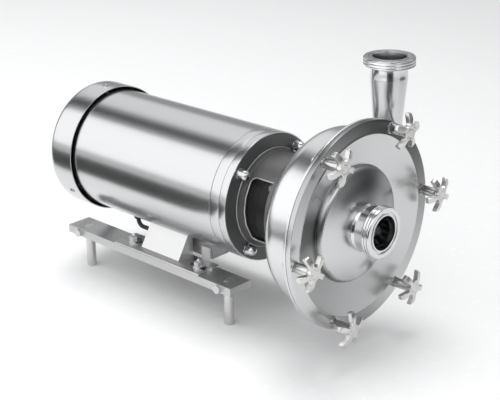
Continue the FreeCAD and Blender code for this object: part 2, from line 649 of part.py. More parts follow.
def motor_rotor():
    """Stepped motor shaft and the laminated rotor on it."""
    gap, width = size["face_gap"], size["bearing_width"]
    front_end, front_start = aft("front_bearing_back") + width, aft("front_bearing_back") - gap
    rear_end, rear_start = aft("rear_bearing_back") + width + gap, aft("rear_bearing_back") + gap
    shaft, seat, core = size["shaft_r"], size["bearing_shaft_r"], size["rotor_shaft_r"]
    turned_piece("motor_shaft", [
        (ahead("shaft_reach"), 0), (ahead("shaft_reach"), shaft), (front_end, shaft),
        (front_end, seat), (front_start, seat), (front_start, core), (rear_end, core),
        (rear_end, seat), (rear_start, seat), (rear_start, size["fan_shaft_r"]),
        (aft("shaft_back"), size["fan_shaft_r"]), (aft("shaft_back"), 0)])
    rotor_r = size["core_bore_r"] - size["rotor_gap"]
    turned_piece("rotor_core", [
        (aft("core_front"), core), (aft("core_front"), rotor_r),
        (aft("core_back"), rotor_r), (aft("core_back"), core)])


def cooling_fan():
    """Radial fan on the rear shaft end: hub, backing disc and straight blades."""
    front, back = aft("fan_front"), aft("fan_front") - size["fan_width"]
    disc_back, disc_r = front - size["fan_disc"], size["fan_disc_r"]
    fan = body("cooling_fan")
    turn(fan, [
        (front, size["fan_shaft_r"]), (front, disc_r), (disc_back, disc_r),
        (disc_back, size["fan_hub_r"]), (back, size["fan_hub_r"]), (back, size["fan_shaft_r"])])
    blade = sketch_on(fan, "YZ_Plane", back)
    half, root = size["fan_blade"] / 2, size["fan_blade_root_r"]
    outline(blade, [(root, -half), (size["fan_r"], -half), (size["fan_r"], half), (root, half)])
    added = pad(fan, blade, size["fan_width"])
    around(fan, [added], BLADES)
    return finish(fan, "cooling_fan")


def shroud():
    """Stainless sheet shroud with a front band, a cut-out for the terminal box and a gland hole."""
    outer, inner = size["shroud_r"], size["shroud_r"] - size["shroud_wall"]
    tube = body("motor_shroud")
    turn(tube, [(aft("band_back"), inner), (aft("band_back"), outer),
                (aft("shroud_back"), outer), (aft("shroud_back"), inner)])
    back, front = wet("box_back") - size["cutout_margin"], wet("box_front") + size["cutout_margin"]
    half = size["box_half"] + size["cutout_margin"]
    opening = sketch_on(tube, "XY_Plane", -outer - OVERCUT)
    outline(opening, [(back, -half), (front, -half), (front, half), (back, half)])
    pocket(tube, opening, size["cutout_depth"], reverse=True)
    hole = sketch_on(tube, "XY_Plane", -outer - OVERCUT)
    circle(hole, wet("lead_drop_back"), -size["lead_side"], size["gland_r"])
    pocket(tube, hole, size["cutout_depth"], reverse=True)
    cowl_screw_holes(tube)
    finish(tube, "motor_shroud")
    seam = size["seam_size"]
    middle = aft("band_seam")
    turned_piece("shroud_front_band", [
        (aft("band_back"), inner), (aft("band_back"), outer - seam), (aft("band_back") + seam, outer),
        (middle - seam, outer), (middle, outer - seam), (middle + seam, outer),
        (ahead("spigot") - size["spigot"], outer), (ahead("spigot") - size["spigot"], inner)])


def cowl_screw_holes(owner):
    """Holes for the cowl screws, bored outwards from the shaft axis through a round skin."""
    tilt = size["cowl_screw_phase"].number - 90
    sketch = sketch_on(owner, "XY_Plane")
    sketch.AttachmentOffset = FreeCAD.Placement(
        FreeCAD.Vector(), FreeCAD.Rotation(FreeCAD.Vector(1, 0, 0), tilt))
    circle(sketch, aft("cowl_screw_back"), 0, size["cowl_screw_r"] + size["fit_gap"])
    hole = pocket(owner, sketch, size["cowl_r"] + OVERCUT, reverse=True)
    around(owner, [hole], COWL_SCREWS)


def fan_cowl():
    """Round-cornered cap over the fan, standing a few millimetres clear of the shroud."""
    front, back, bend = aft("cowl_front"), aft("cowl_back"), size["cowl_bend_r"]
    outer, wall = size["cowl_r"], size["cowl_wall"]
    cap = body("fan_cowl")
    turn(cap, [
        (front, outer - wall), (front, outer), (back + bend, outer, bend), (back, outer - bend),
        (back, 0), (back + wall, 0), (back + wall, outer - bend, wall - bend),
        (back + bend, outer - wall)])
    cowl_screw_holes(cap)
    air_slots(cap)
    finish(cap, "fan_cowl")


def air_slots(owner):
    """Radial slots with round ends in the cowl's flat back, where the fan draws its air."""
    half, end_r = size["air_slot_width"] / 2, size["air_slot_width"] / 2 * ROUND_END
    low, high = size["air_slot_in_r"], size["air_slot_out_r"]
    sketch = outline(sketch_on(owner, "YZ_Plane", aft("cowl_back") - OVERCUT), [
        (half, low), (half, high, end_r), (-half, high), (-half, low, end_r)])
    slot = pocket(owner, sketch, size["cowl_wall"] + 2 * OVERCUT, reverse=True)
    around(owner, [slot], AIR_SLOTS)


def cowl_screws():
    """Round-headed screws with spacers that hold the cowl off the shroud."""
    shank, spacer, head = size["cowl_screw_r"], size["spacer_r"], size["cowl_head_r"]
    floor, skin = size["shroud_r"], size["cowl_r"]
    tail, top = floor - size["cowl_screw_tail"], skin + size["cowl_head"]
    roof = skin - size["cowl_wall"] - size["spacer_gap"]
    screws = []
    for k, spin in enumerate(evenly("cowl_screw_phase", COWL_SCREWS)):
        away = FreeCAD.Vector(0, math.cos(math.radians(spin)), math.sin(math.radians(spin)))
        screw = body("cowl_screw_%d" % (k + 1))
        sketch = outline(sketch_on(screw, "XZ_Plane"), [
            (0, tail), (shank, tail), (shank, floor), (spacer, floor), (spacer, roof), (shank, roof),
            (shank, skin), (head, skin), (head, skin + OVERCUT), (size["cowl_head_top_r"], top), (0, top)])
        turned = screw.newObject("PartDesign::Revolution", screw.Name + "_turned")
        turned.Profile = sketch
        turned.ReferenceAxis = (sketch, ["V_Axis"])
        turned.Angle = 360
        stand(screw, aft("cowl_screw_back"))
        screw.Placement.Rotation = FreeCAD.Rotation(FreeCAD.Vector(0, 0, 1), away)
        screws.append(screw)
    group = doc.addObject("Part::Compound", "cowl_screws")
    group.Links = screws
    return finish(group, "cowl_screws")


# Fasteners

def turned_bolt(name, profile):
    """A round fastener as a body of its own, turned about its local X axis."""
    bolt = body(name)
    turn(bolt, profile)
    return bolt


def hexagon(name, across_r, start, length):
    """Hexagonal prism along local X, given its corner radius."""
    prism = doc.addObject("Part::Prism", name)
    prism.Polygon = 6
    bind(prism, Circumradius=across_r, Height=length)
    return stand(prism, start, axis=(0, 1, 0), angle=90)


def grouped(label, maker, places, axis=None, angle=0):
    """Several alike fasteners as one group: maker builds one, places says where each stands."""
    members = []
    for k, (x, y, z) in enumerate(places):
        item = maker("%s_%d" % (label, k + 1))
        members.append(stand(item, x, y, z, axis, angle))
    group = doc.addObject("Part::Compound", label)
    group.Links = members
    return finish(group, label)


def fused(name, parts):
    item = doc.addObject("Part::MultiFuse", name)
    item.Shapes = parts
    item.Refine = True
    return item


def domed_nut(name, stem_r, hex_r, low, thick, tall, dome, washer_r, washer):
    """Stem, head below, washer and domed nut above; the clamped face is at local x = 0."""
    flat_r, dome_bend_r = hex_r * math.cos(math.radians(30)), hex_r * size["dome_bend_ratio"]
    stem = turned_bolt(name + "_stem", [
        (-low - thick, 0), (-low - thick, stem_r), (washer + tall, stem_r), (washer + tall, 0)])
    head = hexagon(name + "_head", hex_r, -low - thick, thick)
    nut = hexagon(name + "_nut", hex_r, washer, tall)
    cap = turned_bolt(name + "_cap", [
        (0, 0), (0, washer_r), (washer, washer_r), (washer, flat_r),
        (washer + tall, flat_r, dome_bend_r), (washer + tall + dome, 0)])
    return fused(name, [stem, head, nut, cap])


def ring_places(x, spread, angles):
    """Coordinates of things on a ring about the shaft."""
    turned = [math.radians(angle) for angle in angles]
    return [(x, spread * math.cos(angle), spread * math.sin(angle)) for angle in turned]


def face_bolts():
    """Four bolts with domed nuts round the motor flange face."""
    face = ahead("spigot") - size["spigot"]

    def maker(name):
        return domed_nut(name, size["bolt_r"], size["hex_r"], size["flange_thick"], size["head_height"],
                         size["nut_height"], size["dome_height"], size["bolt_washer_r"],
                         size["bolt_washer"])
    grouped("flange_dome_nuts", maker,
            ring_places(face, size["face_bolt_circle_r"], evenly("face_bolt_phase", FACE_BOLTS)))


def mount_angles():
    """Angles of the lantern's flange nuts, mirrored left to right and top to bottom."""
    above = [size["mount_phase"].number, 180 - size["mount_phase"].number]
    return above + [-angle for angle in above]


def casing_nuts():
    """Studs with hexagon nuts that hold the lantern flange on the casing ring."""
    nut_back, bite = -size["lantern_flange"] - size["mount_nut"], size["mount_bite"]
    tail, stud_r = nut_back - size["mount_tail"], size["mount_stud_r"]

    def maker(name):
        stud = turned_bolt(name + "_stud", [(tail, 0), (tail, stud_r), (bite, stud_r), (bite, 0)])
        nut = hexagon(name + "_nut", size["mount_nut_r"], nut_back, size["mount_nut"])
        return fused(name, [stud, nut])
    grouped("casing_mounting_nuts", maker,
            ring_places(wet("lantern_front"), size["mount_circle_r"], mount_angles()))


def inner_screws():
    """Socket screws inside the lantern that hold it on the motor flange."""
    floor = ahead("lantern_floor")
    grip, shank = size["lantern_floor"] - size["spigot"] + size["inner_bite"], size["inner_screw_r"]
    head, head_r = size["inner_head"], size["inner_head_r"]
    socket, socket_r = head - size["socket"], size["socket_r"]

    def maker(name):
        return turned_bolt(name, [
            (-grip, 0), (-grip, shank), (0, shank), (0, head_r), (head, head_r), (head, socket_r),
            (socket, socket_r), (socket, 0)])
    grouped("lantern_screws", maker,
            ring_places(floor, size["inner_circle_r"], evenly("inner_phase", FACE_BOLTS)))


def cover_studs():
    """Studs through the casing rim and cover rim, each with a flat head behind."""
    face, stud, bevel = wet("cover_face"), size["stud_r"], size["stud_bevel"]
    seat, end = wet("casing_flange_back") - face, size["stud_reach"]
    back = seat - size["stud_head"]

    def maker(name):
        return turned_bolt(name, [
            (back, 0), (back, size["barrel_r"]), (seat, size["barrel_r"]), (seat, stud),
            (end - bevel, stud), (end, stud - bevel), (end, 0)])
    grouped("cover_studs", maker, star_places())


def star_places():
    """Where the star nuts, their washers and studs stand on the cover's rim."""
    return ring_places(wet("cover_face"), size["stud_circle_r"], evenly("stud_phase", STUDS))


def star_nut(label, turn_angle, place):
    """Cast hand nut: long barrel and a drooping star of five arms with round valleys between them."""
    thin, long = size["washer_thick"], size["barrel_length"]
    barrel, reach, bend = size["barrel_r"], size["star_reach"], size["star_bend_r"]
    top = long + size["star_thick"] + size["star_rise"]
    rim_top = top - size["star_droop"]
    thread, thread_end = size["stud_r"] + size["fit_gap"], size["stud_reach"] + size["thread_runout"]
    nut = body(label)
    turn(nut, [
        (thin, thread), (thin, barrel), (long, barrel), (long + size["star_neck"], size["star_neck_r"], bend),
        (rim_top - size["star_thick"], reach), (rim_top, reach, -bend),
        (top, size["star_flat_r"]), (top, 0), (thread_end, 0), (thread_end, thread)])
    half, web = size["arm_half"], size["star_web_r"]
    half_step = math.radians(180.0 / STAR_ARMS)
    c, s = math.cos(half_step), math.sin(half_step)

    def side(along):
        """Point on the upper arm's flank, by its distance along the arm's own middle line."""
        return along * c + half * s, along * s - half * c
    far, root = side(reach + size["star_outside"]), side(reach - size["star_straight"])
    deep = root[0] - web
    valley = (deep * deep + root[1] * root[1]) / (2 * deep)
    gap = sketch_on(nut, "YZ_Plane")
    outline(gap, [
        (far[0], -far[1]), far, (root[0], root[1], valley), (root[0], -root[1])])
    cut = pocket(nut, gap, top * 2 + OVERCUT, both_ways=True)
    around(nut, [cut], STAR_ARMS)
    stand(nut, *place, axis=(1, 0, 0), angle=turn_angle)
    return finish(nut, label)


def star_nuts():
    """Six washers and six star nuts, each nut turned to its own angle."""
    thin, outer, hole = size["washer_thick"], size["washer_r"], size["stud_r"] + size["fit_gap"]
    for number, (turn_angle, place) in enumerate(zip(STAR_TURNS, star_places()), start=1):
        washer = turned_bolt("star_washer_%d" % number, [
            (0, hole), (0, outer), (thin, outer), (thin, hole)])
        finish(stand(washer, *place), "star_washer_%d" % number)
        star_nut("star_nut_%d" % number, turn_angle, place)


# Base

def sides():
    """Near side is -Y and far side is +Y."""
    return (("near", -1), ("far", 1))


def rail(name, side):
    """Flat bar with an upright leg hole near each end and a cross tapping for its lock bolt."""
    bar = body("rail_" + name)
    top, thick = -size["rail_top"], size["rail_thick"]
    left, right = wet("rail_front") - size["rail_length"], wet("rail_front")
    low, high = sorted((size["rail_in"] * side, size["rail_out"] * side), key=lambda value: value.number)
    plan = outline(sketch_on(bar, "XY_Plane", top), [(left, low), (right, low), (right, high), (left, high)])
    pad(bar, plan, thick, reverse=True)
    for station in ("leg_front_back", "leg_rear_back"):
        hole = circle(sketch_on(bar, "XY_Plane", top + OVERCUT), wet(station), size["leg_side"] * side,
                      size["leg_r"] + size["leg_gap"])
        pocket(bar, hole, thick + 2 * OVERCUT)
        tapping = circle(sketch_on(bar, "XZ_Plane", size["rail_out"] * -side), wet(station),
                         top - thick / 2, size["lock_r"] + size["fit_gap"])
        pocket(bar, tapping, size["rail_out"] - size["leg_side"], reverse=side > 0)
    for station in ("foot_bolt_front", "foot_bolt_back"):
        hole = circle(sketch_on(bar, "XY_Plane", top + OVERCUT), wet(station), size["slot_side"] * side,
                      size["foot_stud_r"] + size["fit_gap"])
        pocket(bar, hole, thick + 2 * OVERCUT)
    return finish(bar, "rail_" + name)


def leg(number, station, side):
    """Round leg bar with a small bevel at its foot."""
    bar = body("leg_%d" % number)
    foot, top, edge = -size["leg_foot"], -size["rail_top"], size["leg_edge"]
    long = top - foot
    turn(bar, [(0, 0), (0, size["leg_r"] - edge), (edge, size["leg_r"]), (long - edge / 2, size["leg_r"]),
               (long, size["leg_r"] - edge / 2), (long, 0)])
    stand(bar, wet(station), size["leg_side"] * side, foot, (0, 1, 0), -90)
    return finish(bar, "leg_%d" % number)


def foot_bracket(name, side):
    """Slotted foot plate on the rail with a folded riser up to the shroud."""
    foot = body("foot_" + name)
    base = -size["rail_top"]
    front, back = wet("plate_front"), wet("plate_back")
    near, far = size["plate_in"] * side, size["plate_out"] * side
    low, high = (far, near) if side < 0 else (near, far)
    half = size["slot_width"] / 2
    slot = size["slot_side"] * side
    deep, slot_end_r = size["slot_depth"], half * ROUND_END
    plan = outline(sketch_on(foot, "XY_Plane", base), [
        (back, low), (front, low), (front, slot - half), (front - deep, slot - half, -slot_end_r),
        (front - deep, slot + half), (front, slot + half), (front, high), (back, high),
        (back, slot + half), (back + deep, slot + half, -slot_end_r), (back + deep, slot - half),
        (back, slot - half)])
    pad(foot, plan, size["plate_thick"])
    upper = base + size["plate_thick"]
    root, inside = upper - OVERCUT, (size["plate_in"] + OVERCUT) * side
    section = outline(sketch_on(foot, "YZ_Plane", wet("riser_back")), ordered([
        (size["riser_out"] * side, root), (size["riser_top_side"] * side, -size["riser_top"]),
        (inside, -size["riser_top"]), (inside, root)], side))
    pad(foot, section, size["riser_back"] - size["riser_front"])
    around_shroud = circle(sketch_on(foot, "YZ_Plane", wet("riser_back") - OVERCUT), 0, 0, size["shroud_r"])
    pocket(foot, around_shroud, size["riser_back"] - size["riser_front"] + 2 * OVERCUT, reverse=True)
    return finish(foot, "foot_" + name)


def ordered(points, side):
    """Keeps an outline running the same way round on both sides of the pump."""
    return points if side < 0 else list(reversed(points))


def foot_bolts():
    """Four bolts with washers and domed nuts that hold the foot plates on the rails."""
    top = size["plate_thick"] - size["rail_top"]
    low = size["plate_thick"] + size["rail_thick"]

    def maker(name):
        return domed_nut(name, size["foot_stud_r"], size["foot_hex_r"], low, size["foot_head"],
                         size["foot_nut"], size["foot_dome"], size["foot_washer_r"], size["bolt_washer"])
    places = [(wet(station), size["slot_side"] * side, top)
              for station in ("foot_bolt_front", "foot_bolt_back") for _, side in sides()]
    grouped("foot_bolts", maker, places, (0, 1, 0), -90)


def lock_bolts():
    """Four hexagon bolts that clamp the legs from the rails' outer faces."""
    members = []
    level = -size["rail_top"] - size["rail_thick"] / 2
    for number, (station, side) in enumerate(leg_places(), start=1):
        grip = size["rail_out"] - size["leg_side"] - size["leg_r"] - size["lock_tip_gap"]
        name = "lock_bolt_%d" % number
        stem = turned_bolt(name + "_stem", [
            (-grip, 0), (-grip, size["lock_r"]), (OVERCUT, size["lock_r"]), (OVERCUT, 0)])
        head = hexagon(name + "_head", size["lock_head_r"], 0, size["lock_head"])
        bolt = fused(name, [stem, head])
        members.append(stand(bolt, wet(station), size["rail_out"] * side, level, (0, 0, 1), 90 * side))
    group = doc.addObject("Part::Compound", "leg_lock_bolts")
    group.Links = members
    finish(group, "leg_lock_bolts")


def leg_places():
    """The four legs in order: near front, near rear, far front, far rear."""
    return [(station, side) for _, side in sides() for station in ("leg_front_back", "leg_rear_back")]


# Terminal box, glands and lead

def terminal_box():
    """Terminal box under the housing, saddled on it, with its lid below and a square plug beside it."""
    front, back, half = wet("box_front"), wet("box_back"), size["box_half"]
    floor = -size["box_bottom"] + size["lid_thick"]
    wall = size["box_wall"]
    box = body("terminal_box")
    plan = outline(sketch_on(box, "XY_Plane", floor), [
        (back, -half), (front, -half), (front, half), (back, half)])
    pad(box, plan, -floor - size["housing_r"] / 2)
    round_top = circle(sketch_on(box, "YZ_Plane", back - OVERCUT), 0, 0, size["housing_r"])
    pocket(box, round_top, front - back + 2 * OVERCUT, reverse=True)
    inside = outline(sketch_on(box, "XY_Plane", floor - OVERCUT), [
        (back + wall, wall - half), (front - wall, wall - half),
        (front - wall, half - wall), (back + wall, half - wall)])
    pocket(box, inside, -floor - size["housing_r"] - size["box_roof"], reverse=True)
    entry = circle(sketch_on(box, "YZ_Plane", back - OVERCUT), -size["lead_side"], -size["lead_level"],
                   size["gland_entry_r"])
    pocket(box, entry, wall + 2 * OVERCUT, reverse=True)
    finish(box, "terminal_box")
    lid = body("terminal_box_lid")
    cover = outline(sketch_on(lid, "XY_Plane", -size["box_bottom"]), [
        (back, -half), (front, -half), (front, half), (back, half)])
    pad(lid, cover, size["lid_thick"])
    finish(lid, "terminal_box_lid")


def side_plug():
    """Square blanking plug on the near side of the terminal box."""
    plug = body("box_side_plug")
    left, right = wet("plug_front") - size["plug_size"], wet("plug_front")
    low = size["plug_lift"] - size["box_bottom"]
    face = sketch_on(plug, "XZ_Plane", size["box_half"])
    rounded_box(face, left, right, low, low + size["plug_size"], size["plug_corner_r"])
    pad(plug, face, size["plug_thick"])
    return finish(plug, "box_side_plug")


def glands():
    """Two glands for the motor lead: one down through the shroud, one on the box's rear wall."""
    collar, nose, length = size["gland_r"], size["gland_nose_r"], size["gland_length"]
    bevel, entry, inside = size["gland_bevel"], size["gland_entry_r"], length + size["box_wall"]
    collar_start = length - size["gland_collar"]
    top = turned_bolt("shroud_gland", [
        (0, 0), (0, nose), (bevel, collar), (length, collar), (length, 0)])
    stand(top, wet("lead_drop_back"), -size["lead_side"], -size["drop_start"], (0, 1, 0), -90)
    rear = turned_bolt("box_gland", [
        (0, 0), (0, entry), (bevel, nose), (collar_start, nose), (collar_start, collar),
        (length, collar), (length, entry), (inside, entry), (inside, 0)])
    stand(rear, wet("box_back") - length, -size["lead_side"], -size["lead_level"])
    group = doc.addObject("Part::Compound", "cable_glands")
    group.Links = [top, rear]
    finish(group, "cable_glands")


def motor_lead():
    """Short lead that drops from the shroud gland and bends forward into the box gland."""
    lead = body("motor_lead")
    start_x, start_z = wet("lead_drop_back"), -size["drop_start"]
    bend, level = size["lead_bend_r"], -size["lead_level"]
    end_x = wet("box_back") - size["gland_length"]
    route = sketch_on(lead, "XZ_Plane", size["lead_side"])
    route.addGeometry(Part.LineSegment(vector(start_x, start_z), vector(start_x, level + bend)), False)
    route.addGeometry(arc_between(vector(start_x, level + bend), vector(start_x + bend, level),
                                  bend.number), False)
    route.addGeometry(Part.LineSegment(vector(start_x + bend, level), vector(end_x, level)), False)
    route.addConstraint(Sketcher.Constraint("Tangent", 0, 2, 1, 1))
    route.addConstraint(Sketcher.Constraint("Tangent", 1, 2, 2, 1))
    route.addConstraint(Sketcher.Constraint("Vertical", 0))
    route.addConstraint(Sketcher.Constraint("Horizontal", 2))
    bound(route, "DistanceX", 0, 1, value=start_x)
    bound(route, "DistanceY", 0, 1, value=start_z)
    bound(route, "DistanceX", 2, 2, value=end_x)
    bound(route, "DistanceY", 2, 2, value=level)
    bound(route, "Radius", 1, value=bend)
    section = circle(sketch_on(lead, "XY_Plane", start_z), start_x, -size["lead_side"], size["lead_r"])
    tube = lead.newObject("PartDesign::AdditivePipe", "lead_tube")
    tube.Profile = section
    tube.Spine = (route, [])
    doc.recompute()
    run = (start_z - level - bend).number + (end_x - start_x - bend).number + math.pi / 2 * bend.number
    area = math.pi * size["lead_r"].number ** 2
    print("motor lead: length %.1f mm, bend radius %.1f mm, volume %.4f of section times length"
          % (run, bend.number, lead.Shape.Volume / (run * area)))
    return finish(lead, "motor_lead")


def vector(x, y):
    return FreeCAD.Vector(lift(x).number, lift(y).number, 0)


def build_all():
    """Builds every piece of the pump in its place."""
    union_piece("inlet_union", size["inlet_neck_r"], size["inlet_foot_r"])
    outlet = union_piece("discharge_union", size["reducer_r"], size["outlet_foot_r"])
    stand(outlet, wet("outlet_back"), size["outlet_side"], size["outlet_top"], (0, 1, 0), -90)
    front_cover()
    gasket()
    casing_shell()
    discharge_reducer()
    cover_studs()
    star_nuts()
    shaft_seal()
    impeller()
    impeller_nut()
    stub_shaft()
    shaft_clamp_ring()
    lantern()
    inner_screws()
    casing_nuts()
    for name, side in sides():
        window_guard("window_guard_" + name, side)
    motor_flange()
    face_bolts()
    motor_inside()
    motor_rotor()
    cooling_fan()
    shroud()
    fan_cowl()
    cowl_screws()
    for name, side in sides():
        rail(name, side)
        foot_bracket(name, side)
    for number, (station, side) in enumerate(leg_places(), start=1):
        leg(number, station, side)
    foot_bolts()
    lock_bolts()
    terminal_box()
    side_plug()
    glands()
    motor_lead()


def check_and_write():
    """Stops on any failed object or bad shape, then writes one STEP file for each piece."""
    doc.recompute()
    failed = [item.Name for item in doc.Objects if {"Invalid", "Error"} & set(item.State)]
    if failed:
        raise RuntimeError("objects that failed: " + ", ".join(failed))
    for item in finished:
        if item.Shape.isNull() or not item.Shape.isValid():
            raise RuntimeError("bad shape: " + item.Label)
    os.makedirs("parts", exist_ok=True)
    for item in finished:
        item.Shape.exportStep(os.path.join("parts", item.Label + ".step"))
    print("%d pieces written" % len(finished))


build_all()
check_and_write()
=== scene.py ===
# %% [markdown]
# A stainless centrifugal pump, dressed over its measured frame.
# The solids arrive at their real size and place. What is left is what the eye sees: brushed sheet,
# polished rims, cast metal, round threads and the soft light that metal needs around it.
# We load the solids first and note their overall box, because nothing that we add may leave it.

# %% Load the measured frame
import math

import bmesh
import bpy
import numpy as np
from mathutils import Matrix, Vector


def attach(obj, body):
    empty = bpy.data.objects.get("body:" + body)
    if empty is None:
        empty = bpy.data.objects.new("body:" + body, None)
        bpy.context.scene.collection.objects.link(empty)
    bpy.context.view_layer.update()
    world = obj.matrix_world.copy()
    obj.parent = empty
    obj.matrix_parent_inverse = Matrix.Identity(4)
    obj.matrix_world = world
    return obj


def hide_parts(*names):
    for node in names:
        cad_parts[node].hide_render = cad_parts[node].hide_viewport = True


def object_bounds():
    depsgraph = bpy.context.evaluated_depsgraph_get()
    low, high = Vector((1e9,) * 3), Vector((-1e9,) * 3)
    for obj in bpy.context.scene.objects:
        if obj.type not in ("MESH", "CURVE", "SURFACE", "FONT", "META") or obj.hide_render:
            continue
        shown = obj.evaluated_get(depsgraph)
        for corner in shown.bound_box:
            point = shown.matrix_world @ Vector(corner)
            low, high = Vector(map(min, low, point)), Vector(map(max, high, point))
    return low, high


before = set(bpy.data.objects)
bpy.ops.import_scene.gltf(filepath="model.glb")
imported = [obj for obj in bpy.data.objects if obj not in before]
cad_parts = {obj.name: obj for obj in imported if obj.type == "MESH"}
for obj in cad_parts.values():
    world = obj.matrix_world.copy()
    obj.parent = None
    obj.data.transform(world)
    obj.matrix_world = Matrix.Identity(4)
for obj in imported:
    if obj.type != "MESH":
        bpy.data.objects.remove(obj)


def plain(box):
    """A box's two corners as plain lists of numbers."""
    return [[float(value) for value in corner] for corner in box]


CAD_BOX = plain(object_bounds())
MM = 0.001

# %% [markdown]
# The camera comes early, so that every later choice can be judged against the photograph.
# It stands off the suction side, a little above, and uses a long lens, so the round parts stay round.
# Its three axes follow from two angles and a slight tilt, worked out here instead of typed as a matrix.

# %% Camera
AZIMUTH = math.radians(43.54)
ELEVATION = math.radians(21.24)
TILT = math.radians(-0.65)
CAMERA_PLACE = (0.9059, -1.2240, 0.6394)
LENS_MM, SENSOR_MM = 84.95, 36


def add_camera():
    """Its axes: right lies level, back points from the pump to the camera, and up is their cross."""
    right = Vector((math.cos(AZIMUTH), math.sin(AZIMUTH), 0))
    back = Vector((math.sin(AZIMUTH) * math.cos(ELEVATION), -math.cos(AZIMUTH) * math.cos(ELEVATION),
                   math.sin(ELEVATION)))
    up = back.cross(right)
    tilted_right = right * math.cos(TILT) + up * math.sin(TILT)
    tilted_up = up * math.cos(TILT) - right * math.sin(TILT)
    data = bpy.data.cameras.new("view_camera")
    data.lens = LENS_MM
    data.sensor_width = SENSOR_MM
    data.clip_end = 100
    camera = bpy.data.objects.new("view_camera", data)
    turn = Matrix((tilted_right, tilted_up, back)).transposed().to_4x4()
    camera.matrix_world = Matrix.Translation(CAMERA_PLACE) @ turn
    bpy.context.scene.collection.objects.link(camera)
    bpy.context.scene.camera = camera


add_camera()
print("camera: %.0f mm lens, seen from %.0f degrees above" % (LENS_MM, math.degrees(ELEVATION)))

# %% [markdown]
# Bright metal shows its surroundings more than itself, so the light is part of the finish.
# One large soft panel on the near side draws the broad white stripe along the motor. A dark card that
# lies low beside the base and one overhead draw the two grey stripes next to it, and a small upright
# card puts the dark line on the discharge pipe. Only the floor, plain and pale, is seen by the camera.

# %% Soft light and floor
FLOOR_LEVEL = CAD_BOX[0][2]
SCENE = bpy.context.scene
SCENE.view_settings.view_transform = "Standard"
ALONG = -1.3
SHAFT_POINT = (ALONG, 0, 0)
# Each panel's name, place, target, width, height and glow, in metres. The first two run beside the
# motor, so that its stripes stay straight.
PANELS = [
    ("near_panel", (ALONG, -0.86, 0.60), SHAFT_POINT, 4.4, 1.36, 1.15),
    ("top_panel", (ALONG, 0.95, 1.45), SHAFT_POINT, 3.6, 1.50, 0.60),
    ("front_panel", (1.7, -0.5, 1.5), (0, 0, 0), 1.4, 1.1, 1.3),
]
# Each dark card's name, place, target, width and height.
CARDS = [
    ("low_card", (-2.0, -0.55, -0.16), (-2.0, -0.45, 0.84), 3.0, 0.56),
    ("high_card", (ALONG, -0.13, 1.32), SHAFT_POINT, 4.4, 0.32),
    ("side_card", (1.25, 1.15, 0.06), (0, 0, 0.06), 1.5, 0.38),
    ("pipe_card", (0.47, -0.47, 0.0), (-0.08, 0.107, 0.0), 0.56, 0.36),
]
FLOOR_SIDE = 28
AIR_COLOUR, AIR_GLOW = (0.96, 0.98, 1.0, 1), 0.34
SUN_PLACE, SUN_POWER, SUN_SPREAD = (-0.6, 0.5, 3), 1.45, 0.6


def facing(place, target):
    """Placement of something that stands at a place and turns its face to the target."""
    aim = (Vector(target) - Vector(place)).to_track_quat("-Z", "Y")
    return Matrix.Translation(place) @ aim.to_matrix().to_4x4()


def add_lamp(name, kind, place, target, **settings):
    """A lamp that faces its target and isn't seen by the camera itself."""
    data = bpy.data.lights.new(name, kind)
    for setting, value in settings.items():
        setattr(data, setting, value)
    lamp = bpy.data.objects.new(name, data)
    lamp.matrix_world = facing(place, target)
    lamp.visible_camera = False
    SCENE.collection.objects.link(lamp)


def add_panel(name, place, target, wide, high, glow):
    """A soft rectangular light; its power in watts is pi times its area times its glow."""
    add_lamp(name, "AREA", place, target, shape="RECTANGLE", size=wide, size_y=high,
             energy=math.pi * wide * high * glow)


def add_card(name, place, target, wide, high, reflected_only=True):
    """A flat rectangle with its place in its mesh: the floor, or a dark card that only metal sees."""
    turn = facing(place, target)
    signs = ((-1, -1), (1, -1), (1, 1), (-1, 1))
    corners = [turn @ Vector((x * wide / 2, y * high / 2, 0)) for x, y in signs]
    mesh = bpy.data.meshes.new(name)
    mesh.from_pydata(corners, [], [(0, 1, 2, 3)])
    card = bpy.data.objects.new(name, mesh)
    if reflected_only:
        card.visible_camera = card.visible_diffuse = card.visible_shadow = False
    SCENE.collection.objects.link(card)
    return card


def add_surroundings():
    """Panels, a soft sun and grey air; then the cards and the floor, which get their finish later."""
    for panel in PANELS:
        add_panel(*panel)
    add_lamp("high_sun", "SUN", SUN_PLACE, (0, 0, 0), energy=SUN_POWER, angle=SUN_SPREAD)
    world = bpy.data.worlds.new("studio_air")
    world.use_nodes = True
    air = world.node_tree.nodes["Background"]
    air.inputs["Color"].default_value = AIR_COLOUR
    air.inputs["Strength"].default_value = AIR_GLOW
    SCENE.world = world
    cards = [add_card(*card) for card in CARDS]
    below = (0, 0, FLOOR_LEVEL - 1)
    floor = add_card("floor", (0, 0, FLOOR_LEVEL), below, FLOOR_SIDE, FLOOR_SIDE, False)
    return cards, floor


cards, floor = add_surroundings()
print("light:", len(PANELS), "panels, a sun and", len(cards), "dark cards")

# %% [markdown]
# Finishes are sums: streaks plus clouds, times a strength, plus a base value. Wired by hand these sums
# grow long, so a small class wraps a node's output and lets us write them as ordinary arithmetic.
# A second class holds one material and has a single method that makes any other node.

